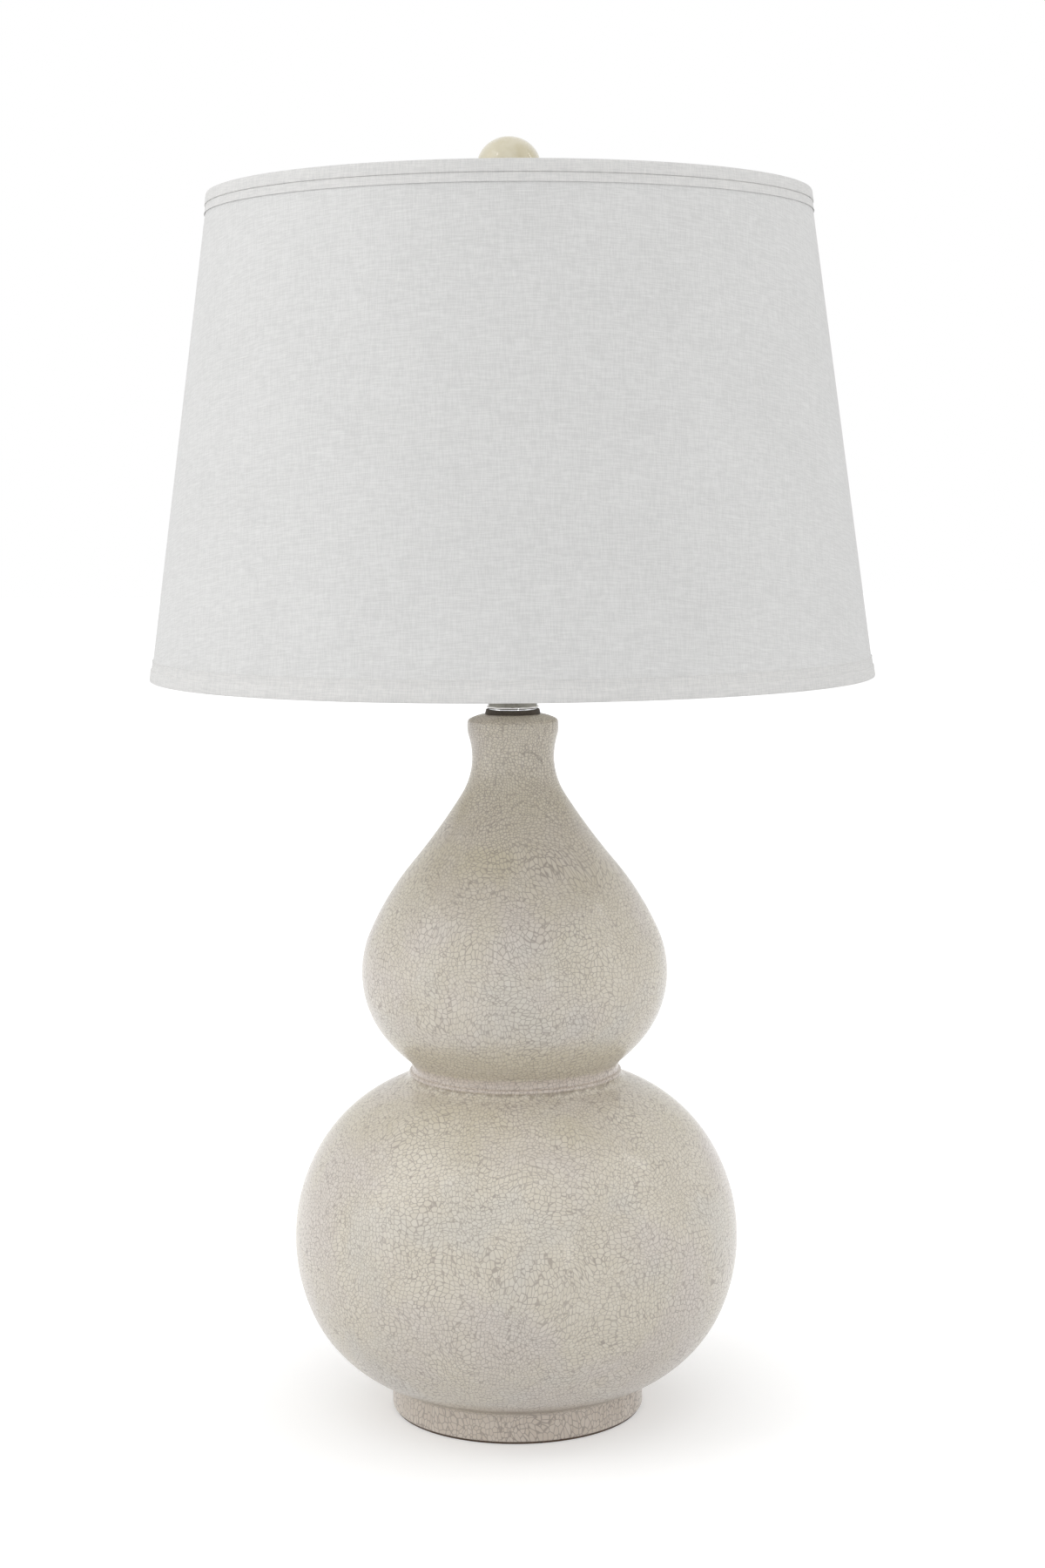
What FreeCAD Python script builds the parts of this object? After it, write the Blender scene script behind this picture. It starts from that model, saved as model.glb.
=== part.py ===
import FreeCAD, Part
import math
import os
import re

import Sketcher
from FreeCAD import Placement, Rotation, Vector

# Double gourd table lamp. Millimetres, +Z up, front towards -Y. The origin is the
# centre of the foot's resting plane. Radii are measured from the lamp's axis.

SIZES = {
    # Ceramic foot and floor; heights are from the table
    "felt_thickness": 1.2,
    "felt_inset": 1.3,
    "foot_radius": 71.4,
    "foot_height": 17.8,
    "foot_edge_round": 1.4,
    "foot_crease_round": 2.2,
    "foot_wall": 11.4,
    "recess_height": 16.0,
    "floor_thickness": 7.0,
    "floor_inset": 2.1,
    "wall": 6.0,
    # Lower bulb of the gourd; its side arc ends at angles below and above its widest level
    "belly_radius": 125.3,
    "belly_height": 99.3,
    "belly_side_curve": 99.2,
    "belly_angle_low": 23.2,
    "belly_angle_high": 30.8,
    # Waist above that level, with the bead left where the two halves are luted
    "waist_radius": 58.2,
    "waist_rise": 96.6,
    "waist_curve": 7.9,
    "bead_rise": 6.6,
    "bead_reach": 4.1,
    "bead_round": 2.8,
    # Upper bulb above the waist, and shoulder
    "bulb_radius": 85.9,
    "bulb_rise": 54.4,
    "bulb_side_curve": 57.3,
    "bulb_angle_low": 37.4,
    "bulb_angle_high": 23.7,
    "shoulder_reach": 24.1,
    "shoulder_rise": 38.9,
    "shoulder_angle": 40.0,
    # Neck above the upper bulb's widest level, then lip and mouth
    "neck_radius": 22.9,
    "neck_rise": 121.3,
    "neck_curve": 39.4,
    "lip_rise": 14.6,
    "lip_round": 4.0,
    "dome_curve": 22.0,
    "dome_rise": 9.4,
    "seat_radius": 15.9,
    "mouth_radius": 12.0,
    # Cord outlet in the back of the foot
    "outlet_height": 8.6,
    "outlet_radius": 5.5,
    "bushing_bore": 3.5,
    "bushing_flange": 6.9,
    "bushing_flange_thickness": 1.6,
    "bushing_tail": 1.5,
    # Threaded lamp pipe and what clamps it under the floor
    "pipe_radius": 5.0,
    "pipe_bore": 3.6,
    "pipe_below_nut": 3.0,
    "pipe_fit": 0.05,
    "washer_radius": 16.0,
    "washer_thickness": 1.6,
    "lock_washer_radius": 8.2,
    "lock_washer_thickness": 1.4,
    "nut_across_flats": 15.8,
    "nut_thickness": 4.6,
    # Gasket and spun cap on the neck
    "gasket_radius": 15.5,
    "gasket_top_radius": 14.9,
    "gasket_bore": 9.0,
    "gasket_thickness": 2.6,
    "cap_skirt_radius": 14.5,
    "cap_crown_radius": 14.0,
    "cap_height": 9.8,
    "cap_round": 3.2,
    "cap_thickness": 1.0,
    # Harp saddle, harp and ferrules
    "saddle_thickness": 1.6,
    "saddle_width": 14.0,
    "saddle_bend": 2.4,
    "saddle_shoulder": 12.0,
    "tab_width": 7.4,
    "tab_height": 18.6,
    "harp_foot_spread": 28.5,
    "harp_wire": 2.0,
    "harp_leg": 9.6,
    "harp_flare_rise": 60.0,
    "harp_spread": 56.5,
    "harp_side": 62.0,
    "harp_crown_round": 38.0,
    "harp_crown_half": 5.7,
    "harp_height": 247.4,
    "crown_pad_radius": 6.6,
    "crown_pad_thickness": 3.0,
    "ferrule_radius": 5.3,
    "ferrule_bore": 4.3,
    "ferrule_height": 15.0,
    # Swivel stud on the harp
    "stud_shank": 2.88,
    "stud_bore": 2.95,
    "stud_head_radius": 5.0,
    "stud_head_thickness": 2.4,
    "stud_shoulder_radius": 5.2,
    "stud_shoulder_thickness": 2.2,
    "stud_pin_radius": 3.1,
    "stud_pin_length": 11.0,
    "play": 0.3,
    # Lamp socket
    "socket_hub_radius": 7.6,
    "socket_hub_height": 7.0,
    "socket_cap_radius": 16.8,
    "socket_cap_height": 24.0,
    "socket_cap_flare": 8.0,
    "socket_thickness": 0.8,
    "shell_overlap": 7.0,
    "shell_height": 49.0,
    "shell_bead": 0.9,
    "liner_thickness": 0.7,
    "slip": 0.1,
    "core_height": 23.0,
    "core_bevel": 1.0,
    "switch_level": 12.0,
    "screw_shell_radius": 14.0,
    "screw_shell_depth": 1.1,
    "screw_shell_thickness": 0.45,
    "thread_pitch": 3.6,
    "contact_width": 5.0,
    "contact_thickness": 0.6,
    "contact_length": 9.0,
    "terminal_level": 15.5,
    "terminal_head": 3.1,
    "terminal_head_thickness": 1.6,
    "terminal_shank": 1.5,
    "terminal_depth": 5.0,
    "terminal_slot": 0.7,
    "set_screw_radius": 1.6,
    "set_screw_length": 4.0,
    # Switch
    "stem_radius": 2.4,
    "stem_fit": 0.07,
    "stem_inner_end": 4.0,
    "stem_outer_end": 26.0,
    "knob_length": 13.0,
    "knob_radius": 5.4,
    "knob_tip_radius": 4.3,
    "knob_flute": 1.3,
    # Bulb
    "bulb_thread_radius": 12.15,
    "bulb_thread_depth": 0.8,
    "bulb_cap_height": 19.0,
    "bulb_insulator_height": 3.4,
    "bulb_contact_radius": 5.0,
    "bulb_contact_height": 1.6,
    "bulb_neck_radius": 11.2,
    "bulb_neck_height": 3.0,
    "bulb_glass_radius": 30.0,
    "bulb_glass_angle": 35.0,
    "bulb_glass_wall": 0.9,
    # Shade
    "shade_top_radius": 164.6,
    "shade_bottom_radius": 200.4,
    "shade_height": 262.4,
    "trim_thickness": 0.9,
    "trim_band": 11.2,
    "cover_thickness": 0.8,
    "liner_sheet": 0.9,
    "ring_wire": 2.0,
    "ring_slack": 0.05,
    "hub_radius": 12.0,
    "hub_thickness": 3.0,
    "hub_clearance": 0.35,
    "arm_wire": 1.8,
    "arm_bend": 8.0,
    "spider_drop": 13.75,
    # Finial
    "finial_gap": 0.1,
    "finial_flange_radius": 8.6,
    "finial_flange_thickness": 2.2,
    "finial_waist_radius": 5.0,
    "finial_collar": 4.0,
    "finial_collar_radius": 6.4,
    "finial_base_height": 15.7,
    "finial_bore_depth": 11.0,
    "finial_radius": 17.5,
    "finial_half_height": 16.0,
    "finial_flat": 1.0,
}

THREAD_TURNS = 5
KNOB_FLUTES = 14
SPIDER_ARMS = 3

doc = FreeCAD.newDocument("DoubleGourdLamp")
sheet = doc.addObject("Spreadsheet::Sheet", "dims")
for row, (size_name, size) in enumerate(SIZES.items(), start=1):
    sheet.set(f"A{row}", size_name)
    sheet.set(f"B{row}", str(size))
    sheet.setAlias(f"B{row}", size_name)
doc.recompute()

# Levels worked out from the sizes, up the lamp's axis
WAIST = "(belly_height + waist_rise)"
BULB = f"({WAIST} + bulb_rise)"
NECK = f"({BULB} + neck_rise)"
LIP = f"({NECK} + lip_rise)"
NECK_TOP = f"({LIP} + dome_rise)"
FOOT_INNER = "(foot_radius - foot_wall)"
FLOOR_TOP = "(recess_height + floor_thickness)"
WASHER_BOTTOM = "(recess_height - washer_thickness)"
LOCK_BOTTOM = f"({WASHER_BOTTOM} - lock_washer_thickness)"
NUT_BOTTOM = f"({LOCK_BOTTOM} - nut_thickness)"
GASKET_TOP = f"({NECK_TOP} + gasket_thickness)"
CAP_TOP = f"({GASKET_TOP} + cap_height)"
SADDLE_TOP = f"({CAP_TOP} + saddle_thickness)"
TAB_TOP = f"({SADDLE_TOP} + tab_height)"
SHOULDER_TOP = f"({SADDLE_TOP} + saddle_shoulder)"
SHELL_BOTTOM = f"({SADDLE_TOP} + socket_cap_height - shell_overlap)"
SHELL_TOP = f"({SHELL_BOTTOM} + shell_height)"
CORE_BOTTOM = f"({SHELL_BOTTOM} + 2 * slip)"
CORE_TOP = f"({CORE_BOTTOM} + core_height)"
SWITCH_AXIS = f"({CORE_BOTTOM} + switch_level)"
TERMINAL_AXIS = f"({CORE_BOTTOM} + terminal_level)"
CONTACT_TOP = f"({CORE_TOP} + 3 * contact_thickness)"
BULB_TIP = f"({CONTACT_TOP} + play)"
BULB_INSULATOR = f"({BULB_TIP} + bulb_contact_height)"
BULB_CAP = f"({BULB_INSULATOR} + bulb_insulator_height)"
BULB_NECK = f"({BULB_CAP} + bulb_cap_height)"
CROWN = f"({SADDLE_TOP} + harp_height)"
PAD_BOTTOM = f"({CROWN} - crown_pad_thickness / 2)"
PAD_TOP = f"({CROWN} + crown_pad_thickness / 2)"
STUD_SEAT = f"({PAD_TOP} + play + stud_shoulder_thickness)"
HUB_BOTTOM = f"({STUD_SEAT} + play / 2)"
HUB_TOP = f"({HUB_BOTTOM} + hub_thickness)"
ARM_LEVEL = f"({HUB_BOTTOM} + hub_thickness / 2)"
TOP_RING = f"({ARM_LEVEL} + spider_drop)"
SHADE_TOP = f"({TOP_RING} + ring_wire + ring_slack + trim_thickness)"
SHADE_BOTTOM = f"({SHADE_TOP} - shade_height)"
BOTTOM_RING = f"({SHADE_BOTTOM} + trim_thickness + ring_slack + ring_wire)"
FINIAL_BASE = f"({HUB_TOP} + finial_gap)"
KNOB_SEAT = f"({FINIAL_BASE} + finial_base_height)"
KNOB_CENTRE = f"({KNOB_SEAT} + finial_half_height - finial_flat)"


def bound(text):
    """Put the sheet's name before each size that an expression names."""
    return re.sub(r"[a-z_]\w*", lambda m: f"dims.{m[0]}" if m[0] in SIZES else m[0], str(text))


def value(text):
    """Work out an expression of sizes as a number."""
    return float(sheet.evalExpression(bound(text)))


def swell(half_chord, rise):
    """Radius of an arc that rises by so much over the middle of its chord."""
    return f"((({half_chord}) * ({half_chord}) / ({rise}) + ({rise})) / 2)"


def shade_wall(inset, level):
    """Radius of the shade's tapered wall at a level, some way in from its outer face."""
    taper = "(shade_bottom_radius - shade_top_radius) / shade_height"
    return f"(shade_top_radius + ({SHADE_TOP} - ({level})) * {taper} - ({inset}))"


# Sketches ------------------------------------------------------------------------


def new_body(name):
    body = doc.addObject("PartDesign::Body", name)
    body.Label = name
    return body


def new_sketch(body, name, plane="XZ_Plane", offset=None):
    """A sketch on one of the body's own planes, or parallel to it at an offset."""
    sketch = body.newObject("Sketcher::SketchObject", f"{body.Name}_{name}")
    support = next(o for o in body.Origin.OriginFeatures if o.Role == plane)
    sketch.AttachmentSupport = [(support, "")]
    sketch.MapMode = "FlatFace"
    if offset is not None:
        sketch.setExpression(".AttachmentOffset.Base.z", bound(offset))
    doc.recompute()
    return sketch


def bind(sketch, constraint, expression):
    sketch.addConstraint(constraint)
    sketch.setExpression(f"Constraints[{sketch.ConstraintCount - 1}]", bound(expression))


def pin_x(sketch, edge, point, x):
    bind(sketch, Sketcher.Constraint("DistanceX", -1, 1, edge, point, value(x)), x)


def pin_y(sketch, edge, point, y):
    bind(sketch, Sketcher.Constraint("DistanceY", -1, 1, edge, point, value(y)), y)


def pin(sketch, edge, point, x, y):
    pin_x(sketch, edge, point, x)
    pin_y(sketch, edge, point, y)


def join(sketch, before, after, tangent=False):
    """Join the end of one edge to the start of the next; an edge is (index, start, end)."""
    kind = "Tangent" if tangent else "Coincident"
    sketch.addConstraint(Sketcher.Constraint(kind, before[0], before[2], after[0], after[1]))


def add_line(sketch, start, end):
    return sketch.addGeometry(Part.LineSegment(start, end)), 1, 2


def add_arc(sketch, centre, start, end, anticlockwise=True):
    """An arc about a centre; its first and last points follow the way it is drawn."""
    first, last = (start, end) if anticlockwise else (end, start)
    circle = Part.Circle(centre, Vector(0, 0, 1), (start - centre).Length)
    angles = [math.atan2(p.y - centre.y, p.x - centre.x) for p in (first, last)]
    index = sketch.addGeometry(Part.ArcOfCircle(circle, *angles))
    return (index, 1, 2) if anticlockwise else (index, 2, 1)


def add_bend(sketch, start, end, radius):
    """A short arc between two points; a positive radius turns left, a negative one right."""
    chord = end - start
    left = Vector(-chord.y, chord.x, 0).normalize()
    rise = math.sqrt(max(radius * radius - chord.Length**2 / 4, 0))
    centre = (start + end) / 2 + left * math.copysign(rise, radius)
    return add_arc(sketch, centre, start, end, radius > 0)


def draw(sketch, corners, closed=True):
    """Draw an outline corner by corner: (x, y), or (x, y, radius) where an arc leads to it."""
    points = [Vector(value(c[0]), value(c[1]), 0) for c in corners]
    edges = []
    for i, corner in enumerate(corners):
        if i == 0 and not closed:
            continue
        if len(corner) == 2:
            edges.append(add_line(sketch, points[i - 1], points[i]))
        else:
            edges.append(add_bend(sketch, points[i - 1], points[i], value(corner[2])))
            size = Sketcher.Constraint("Radius", edges[-1][0], abs(value(corner[2])))
            bind(sketch, size, f"abs({corner[2]})")
        pin(sketch, edges[-1][0], edges[-1][2], corner[0], corner[1])
    for before, after in zip(edges, edges[1:]):
        join(sketch, before, after)
    if closed:
        join(sketch, edges[-1], edges[0])
    else:
        pin(sketch, edges[0][0], edges[0][1], corners[0][0], corners[0][1])
    return edges


def draw_circle(sketch, x, y, radius):
    circle = Part.Circle(Vector(value(x), value(y), 0), Vector(0, 0, 1), value(radius))
    index = sketch.addGeometry(circle)
    bind(sketch, Sketcher.Constraint("Radius", index, value(radius)), radius)
    pin(sketch, index, 3, x, y)


# Features ------------------------------------------------------------------------


def changed(body, feature, before, grows):
    """Stop if a feature that should add or cut did neither."""
    doc.recompute()
    after = feature.Shape.Volume
    if not (after > before if grows else after < before):
        raise RuntimeError(f"{feature.Name} left {body.Name} as it was")
    return feature


def volume(body):
    doc.recompute()
    return body.Tip.Shape.Volume if body.Tip else 0.0


def revolve(body, sketch, cut=False):
    """Turn a sketch about the lamp's axis, to add it or to cut it away."""
    before = volume(body)
    kind = "PartDesign::Groove" if cut else "PartDesign::Revolution"
    feature = body.newObject(kind, f"{sketch.Name}_turned")
    feature.Profile = sketch
    feature.ReferenceAxis = (sketch, ["V_Axis"])
    feature.Angle = 360
    return changed(body, feature, before, not cut)


def pad(body, sketch, length, midplane=False):
    before = volume(body)
    feature = body.newObject("PartDesign::Pad", f"{sketch.Name}_pad")
    feature.Profile = sketch
    feature.setExpression("Length", bound(length))
    feature.SideType = "Symmetric" if midplane else "One side"
    return changed(body, feature, before, True)


def pocket(body, sketch, length=None, reverse=False, both_ways=False):
    """Cut a sketch's outline into a body, by a length or right through."""
    before = volume(body)
    feature = body.newObject("PartDesign::Pocket", f"{sketch.Name}_cut")
    feature.Profile = sketch
    feature.Reversed = reverse
    if length is None:
        feature.Type = "ThroughAll"
    else:
        feature.setExpression("Length", bound(length))
    feature.SideType = "Symmetric" if both_ways else "One side"
    return changed(body, feature, before, False)


def sweep(body, path, section):
    before = volume(body)
    feature = body.newObject("PartDesign::AdditivePipe", f"{path.Name}_swept")
    feature.Profile = section
    feature.Spine = (path, [])
    return changed(body, feature, before, True)


def hole_through(body, name, radius, plane="XY_Plane", x="0", y="0", both_ways=True):
    """A round hole right through the body, square to one of its planes."""
    sketch = new_sketch(body, name, plane)
    draw_circle(sketch, x, y, radius)
    return pocket(body, sketch, both_ways=both_ways)


def turned(name, corners):
    """A lathe-turned or spun piece: its half section, turned about the lamp's axis."""
    body = new_body(name)
    sketch = new_sketch(body, "section")
    draw(sketch, corners)
    revolve(body, sketch)
    return body


def place(piece, x="0", y="0", z="0", rotation=Rotation()):
    """Put a piece drawn about its own origin where it belongs on the lamp."""
    piece.Placement = Placement(Vector(value(x), value(y), value(z)), rotation)
    for axis, text in zip("xyz", (x, y, z)):
        piece.setExpression(f".Placement.Base.{axis}", bound(text))


def ring_edges(feature, radius, level):
    """Names of the round edges of a feature at a radius and a level."""
    found = []
    for number, edge in enumerate(feature.Shape.Edges, start=1):
        curve = edge.Curve
        if not isinstance(curve, Part.Circle):
            continue
        if abs(curve.Radius - value(radius)) < 0.01 and abs(curve.Center.z - value(level)) < 0.01:
            found.append(f"Edge{number}")
    return found


# Gourd ---------------------------------------------------------------------------


def along(degrees):
    """Unit vector at an angle above the horizontal."""
    return Vector(math.cos(math.radians(degrees)), math.sin(math.radians(degrees)), 0)


def centre_through(start, inward, end):
    """Centre of the arc that leaves start square to inward and runs through end."""
    chord = end - start
    return start + inward * (chord.dot(chord) / (2 * chord.dot(inward)))


def centre_touching(start, inward, centre, radius):
    """Centre of the arc that leaves start square to inward and touches a circle outside it."""
    away = start - centre
    size = (away.dot(away) - radius * radius) / (2 * (radius - away.dot(inward)))
    return start + inward * size


def add_free_arc(sketch, centre, start, end, known, inward):
    """An arc beside a side arc; it swells or hollows as its centre lies inside or outside."""
    return add_arc(sketch, centre, start, end, inward.dot(centre - known) > 0)


def touch(arc_centre, centre, radius):
    """Where an arc about arc_centre touches a circle, on the side the gourd's wall is on."""
    way = arc_centre - centre
    side = way.normalize() if way.x < 0 else way.normalize() * -1
    return centre + side * radius


class GourdWall:
    """One face of the gourd's wall, from the foot to the neck, as arcs that run smoothly on.

    Each bulb has a side arc about a named centre. The arcs beside it leave it at a named
    turn and touch the round hollows of the waist and the neck. The inner face is the same
    chain of arcs, a wall's thickness further in.
    """

    def __init__(self, sketch, inset, foot_x, foot_y):
        self.sketch = sketch
        self.inset = inset
        self.foot = (foot_x, foot_y)

    def corner(self, x, y):
        return Vector(value(x), value(y), 0)

    def side_arc(self, radius, level, curve, turn_low, turn_high):
        """The arc round a bulb's widest level, with the places where it ends."""
        centre_x = f"({radius} - {curve})"
        size = f"({curve} - {self.inset})"
        centre = self.corner(centre_x, level)
        low = centre + along(-value(turn_low)) * value(size)
        high = centre + along(value(turn_high)) * value(size)
        arc = add_arc(self.sketch, centre, low, high)
        pin(self.sketch, arc[0], 3, centre_x, level)
        bind(self.sketch, Sketcher.Constraint("Radius", arc[0], value(size)), size)
        pin_y(self.sketch, arc[0], arc[1], f"{level} - {size} * sin({turn_low})")
        pin_y(self.sketch, arc[0], arc[2], f"{level} + {size} * sin({turn_high})")
        return arc, low, high

    def hollow(self, radius, level, curve):
        """Centre and radius of the round hollow at the waist or the neck."""
        return self.corner(f"{radius} + {curve}", level), value(f"{curve} + {self.inset}")

    def bind_hollow(self, arc, radius, level, curve):
        pin(self.sketch, arc[0], 3, f"{radius} + {curve}", level)
        size = f"{curve} + {self.inset}"
        bind(self.sketch, Sketcher.Constraint("Radius", arc[0], value(size)), size)

    def draw(self):
        """Draw the arcs; returns the last one, which ends at the lip."""
        sketch = self.sketch
        belly, belly_low, belly_high = self.side_arc(
            "belly_radius", "belly_height", "belly_side_curve", "belly_angle_low", "belly_angle_high"
        )
        bulb, bulb_low, bulb_high = self.side_arc(
            "bulb_radius", BULB, "bulb_side_curve", "bulb_angle_low", "bulb_angle_high"
        )
        waist, waist_size = self.hollow("waist_radius", WAIST, "waist_curve")
        neck, neck_size = self.hollow("neck_radius", NECK, "neck_curve")

        foot = self.corner(*self.foot)
        inward = along(180 - value("belly_angle_low"))
        under = add_arc(sketch, centre_through(belly_low, inward, foot), foot, belly_low)
        pin(sketch, under[0], under[1], *self.foot)
        join(sketch, under, belly, tangent=True)

        inward = along(180 + value("belly_angle_high"))
        centre = centre_touching(belly_high, inward, waist, waist_size)
        waist_start = touch(centre, waist, waist_size)
        over = add_free_arc(sketch, centre, belly_high, waist_start, belly_high, inward)
        join(sketch, belly, over, tangent=True)

        inward = along(180 - value("bulb_angle_low"))
        centre = centre_touching(bulb_low, inward, waist, waist_size)
        waist_end = touch(centre, waist, waist_size)
        groove = add_arc(sketch, waist, waist_start, waist_end, anticlockwise=False)
        self.bind_hollow(groove, "waist_radius", WAIST, "waist_curve")
        join(sketch, over, groove, tangent=True)
        cup = add_free_arc(sketch, centre, waist_end, bulb_low, bulb_low, inward)
        join(sketch, groove, cup, tangent=True)
        join(sketch, cup, bulb, tangent=True)

        shoulder_x = (
            "bulb_radius - bulb_side_curve * (1 - cos(bulb_angle_high)) - shoulder_reach"
            f" - {self.inset} * cos(shoulder_angle)"
        )
        shoulder_y = (
            f"{BULB} + bulb_side_curve * sin(bulb_angle_high) + shoulder_rise"
            f" - {self.inset} * sin(shoulder_angle)"
        )
        shoulder = self.corner(shoulder_x, shoulder_y)
        inward = along(180 + value("bulb_angle_high"))
        centre = centre_through(bulb_high, inward, shoulder)
        crown = add_free_arc(sketch, centre, bulb_high, shoulder, bulb_high, inward)
        join(sketch, bulb, crown, tangent=True)
        pin(sketch, crown[0], crown[2], shoulder_x, shoulder_y)

        inward = (centre - shoulder).normalize()
        slope_centre = centre_touching(shoulder, inward, neck, neck_size)
        neck_start = touch(slope_centre, neck, neck_size)
        slope = add_free_arc(sketch, slope_centre, shoulder, neck_start, shoulder, inward)
        join(sketch, crown, slope, tangent=True)

        lip_y = value(LIP)
        lip_x = neck.x - math.sqrt(neck_size**2 - (lip_y - neck.y) ** 2)
        hollow = add_arc(sketch, neck, neck_start, Vector(lip_x, lip_y, 0), False)
        self.bind_hollow(hollow, "neck_radius", NECK, "neck_curve")
        join(sketch, slope, hollow, tangent=True)
        pin_y(sketch, hollow[0], hollow[2], LIP)
        self.end = Vector(lip_x, lip_y, 0)
        return hollow


def gourd_outside(body):
    """The glazed outside, closed down the axis: foot, both bulbs, lip and domed top."""
    sketch = new_sketch(body, "outside")
    wall = GourdWall(sketch, "0", "foot_radius", "foot_height")
    hollow = wall.draw()

    neck = Vector(value("neck_radius + neck_curve"), value(NECK), 0)
    outward = (neck - wall.end).normalize()
    lip_centre = wall.end - outward * value("lip_round")
    seat = Vector(value("seat_radius"), value(NECK_TOP), 0)
    to_seat = seat - lip_centre
    reach = value("dome_curve - lip_round")
    cosine = (value("dome_curve") ** 2 - reach**2 - to_seat.Length**2) / (2 * reach * to_seat.Length)
    back = math.atan2(to_seat.y, to_seat.x) - math.acos(-cosine) + math.pi
    dome_centre = lip_centre + Vector(math.cos(back), math.sin(back), 0) * reach
    lip_end = lip_centre + (lip_centre - dome_centre).normalize() * value("lip_round")
    lip = add_arc(sketch, lip_centre, wall.end, lip_end)
    bind(sketch, Sketcher.Constraint("Radius", lip[0], value("lip_round")), "lip_round")
    join(sketch, hollow, lip, tangent=True)
    dome = add_arc(sketch, dome_centre, lip_end, seat)
    join(sketch, lip, dome, tangent=True)
    bind(sketch, Sketcher.Constraint("Radius", dome[0], value("dome_curve")), "dome_curve")
    pin(sketch, dome[0], dome[2], "seat_radius", NECK_TOP)

    draw(
        sketch,
        [
            ("seat_radius", NECK_TOP),
            ("0", NECK_TOP),
            ("0", "felt_thickness"),
            ("foot_radius - foot_edge_round", "felt_thickness"),
            ("foot_radius", "felt_thickness + foot_edge_round", "foot_edge_round"),
            ("foot_radius", "foot_height"),
        ],
        closed=False,
    )
    return revolve(body, sketch)


def gourd_hollow(body):
    """The inside, from the floor up to the mouth."""
    sketch = new_sketch(body, "inside")
    wall = GourdWall(sketch, "wall", "foot_radius - floor_inset", FLOOR_TOP)
    hollow = wall.draw()
    edges = draw(
        sketch,
        [
            ("mouth_radius", f"{NECK_TOP} - wall"),
            ("mouth_radius", f"{NECK_TOP} + 1"),
            ("0", f"{NECK_TOP} + 1"),
            ("0", FLOOR_TOP),
            ("foot_radius - floor_inset", FLOOR_TOP),
        ],
        closed=False,
    )
    start = Vector(value("mouth_radius"), value(f"{NECK_TOP} - wall"), 0)
    throat = add_line(sketch, wall.end, start)
    join(sketch, hollow, throat)
    sketch.addConstraint(Sketcher.Constraint("Coincident", throat[0], 2, edges[0][0], edges[0][1]))
    return revolve(body, sketch, cut=True)


def gourd_body():
    body = new_body("gourd_body")
    gourd_outside(body)

    bead = new_sketch(body, "bead")
    draw_circle(bead, "waist_radius + bead_reach", f"{WAIST} - bead_rise", "bead_round")
    beaded = revolve(body, bead)

    crease = body.newObject("PartDesign::Fillet", "foot_crease")
    crease.Base = (beaded, ring_edges(beaded, "foot_radius", "foot_height"))
    crease.setExpression("Radius", bound("foot_crease_round"))
    doc.recompute()

    gourd_hollow(body)

    recess = new_sketch(body, "recess")
    draw(
        recess,
        [
            ("0", "0"),
            (FOOT_INNER, "0"),
            (FOOT_INNER, "recess_height"),
            ("0", "recess_height"),
        ],
    )
    revolve(body, recess, cut=True)

    floor_hole = new_sketch(body, "floor_hole", "XY_Plane")
    draw_circle(floor_hole, "0", "0", "pipe_radius + play")
    pocket(body, floor_hole, f"{FLOOR_TOP} + 1", reverse=True)

    outlet = new_sketch(body, "outlet")
    draw_circle(outlet, "0", "outlet_height", "outlet_radius")
    pocket(body, outlet, "foot_radius + 1")


# Base fittings -------------------------------------------------------------------


def ring(name, inner, outer, bottom, top):
    """A flat ring: washer, felt or plain tube."""
    return turned(name, [(inner, bottom), (outer, bottom), (outer, top), (inner, top)])


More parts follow.
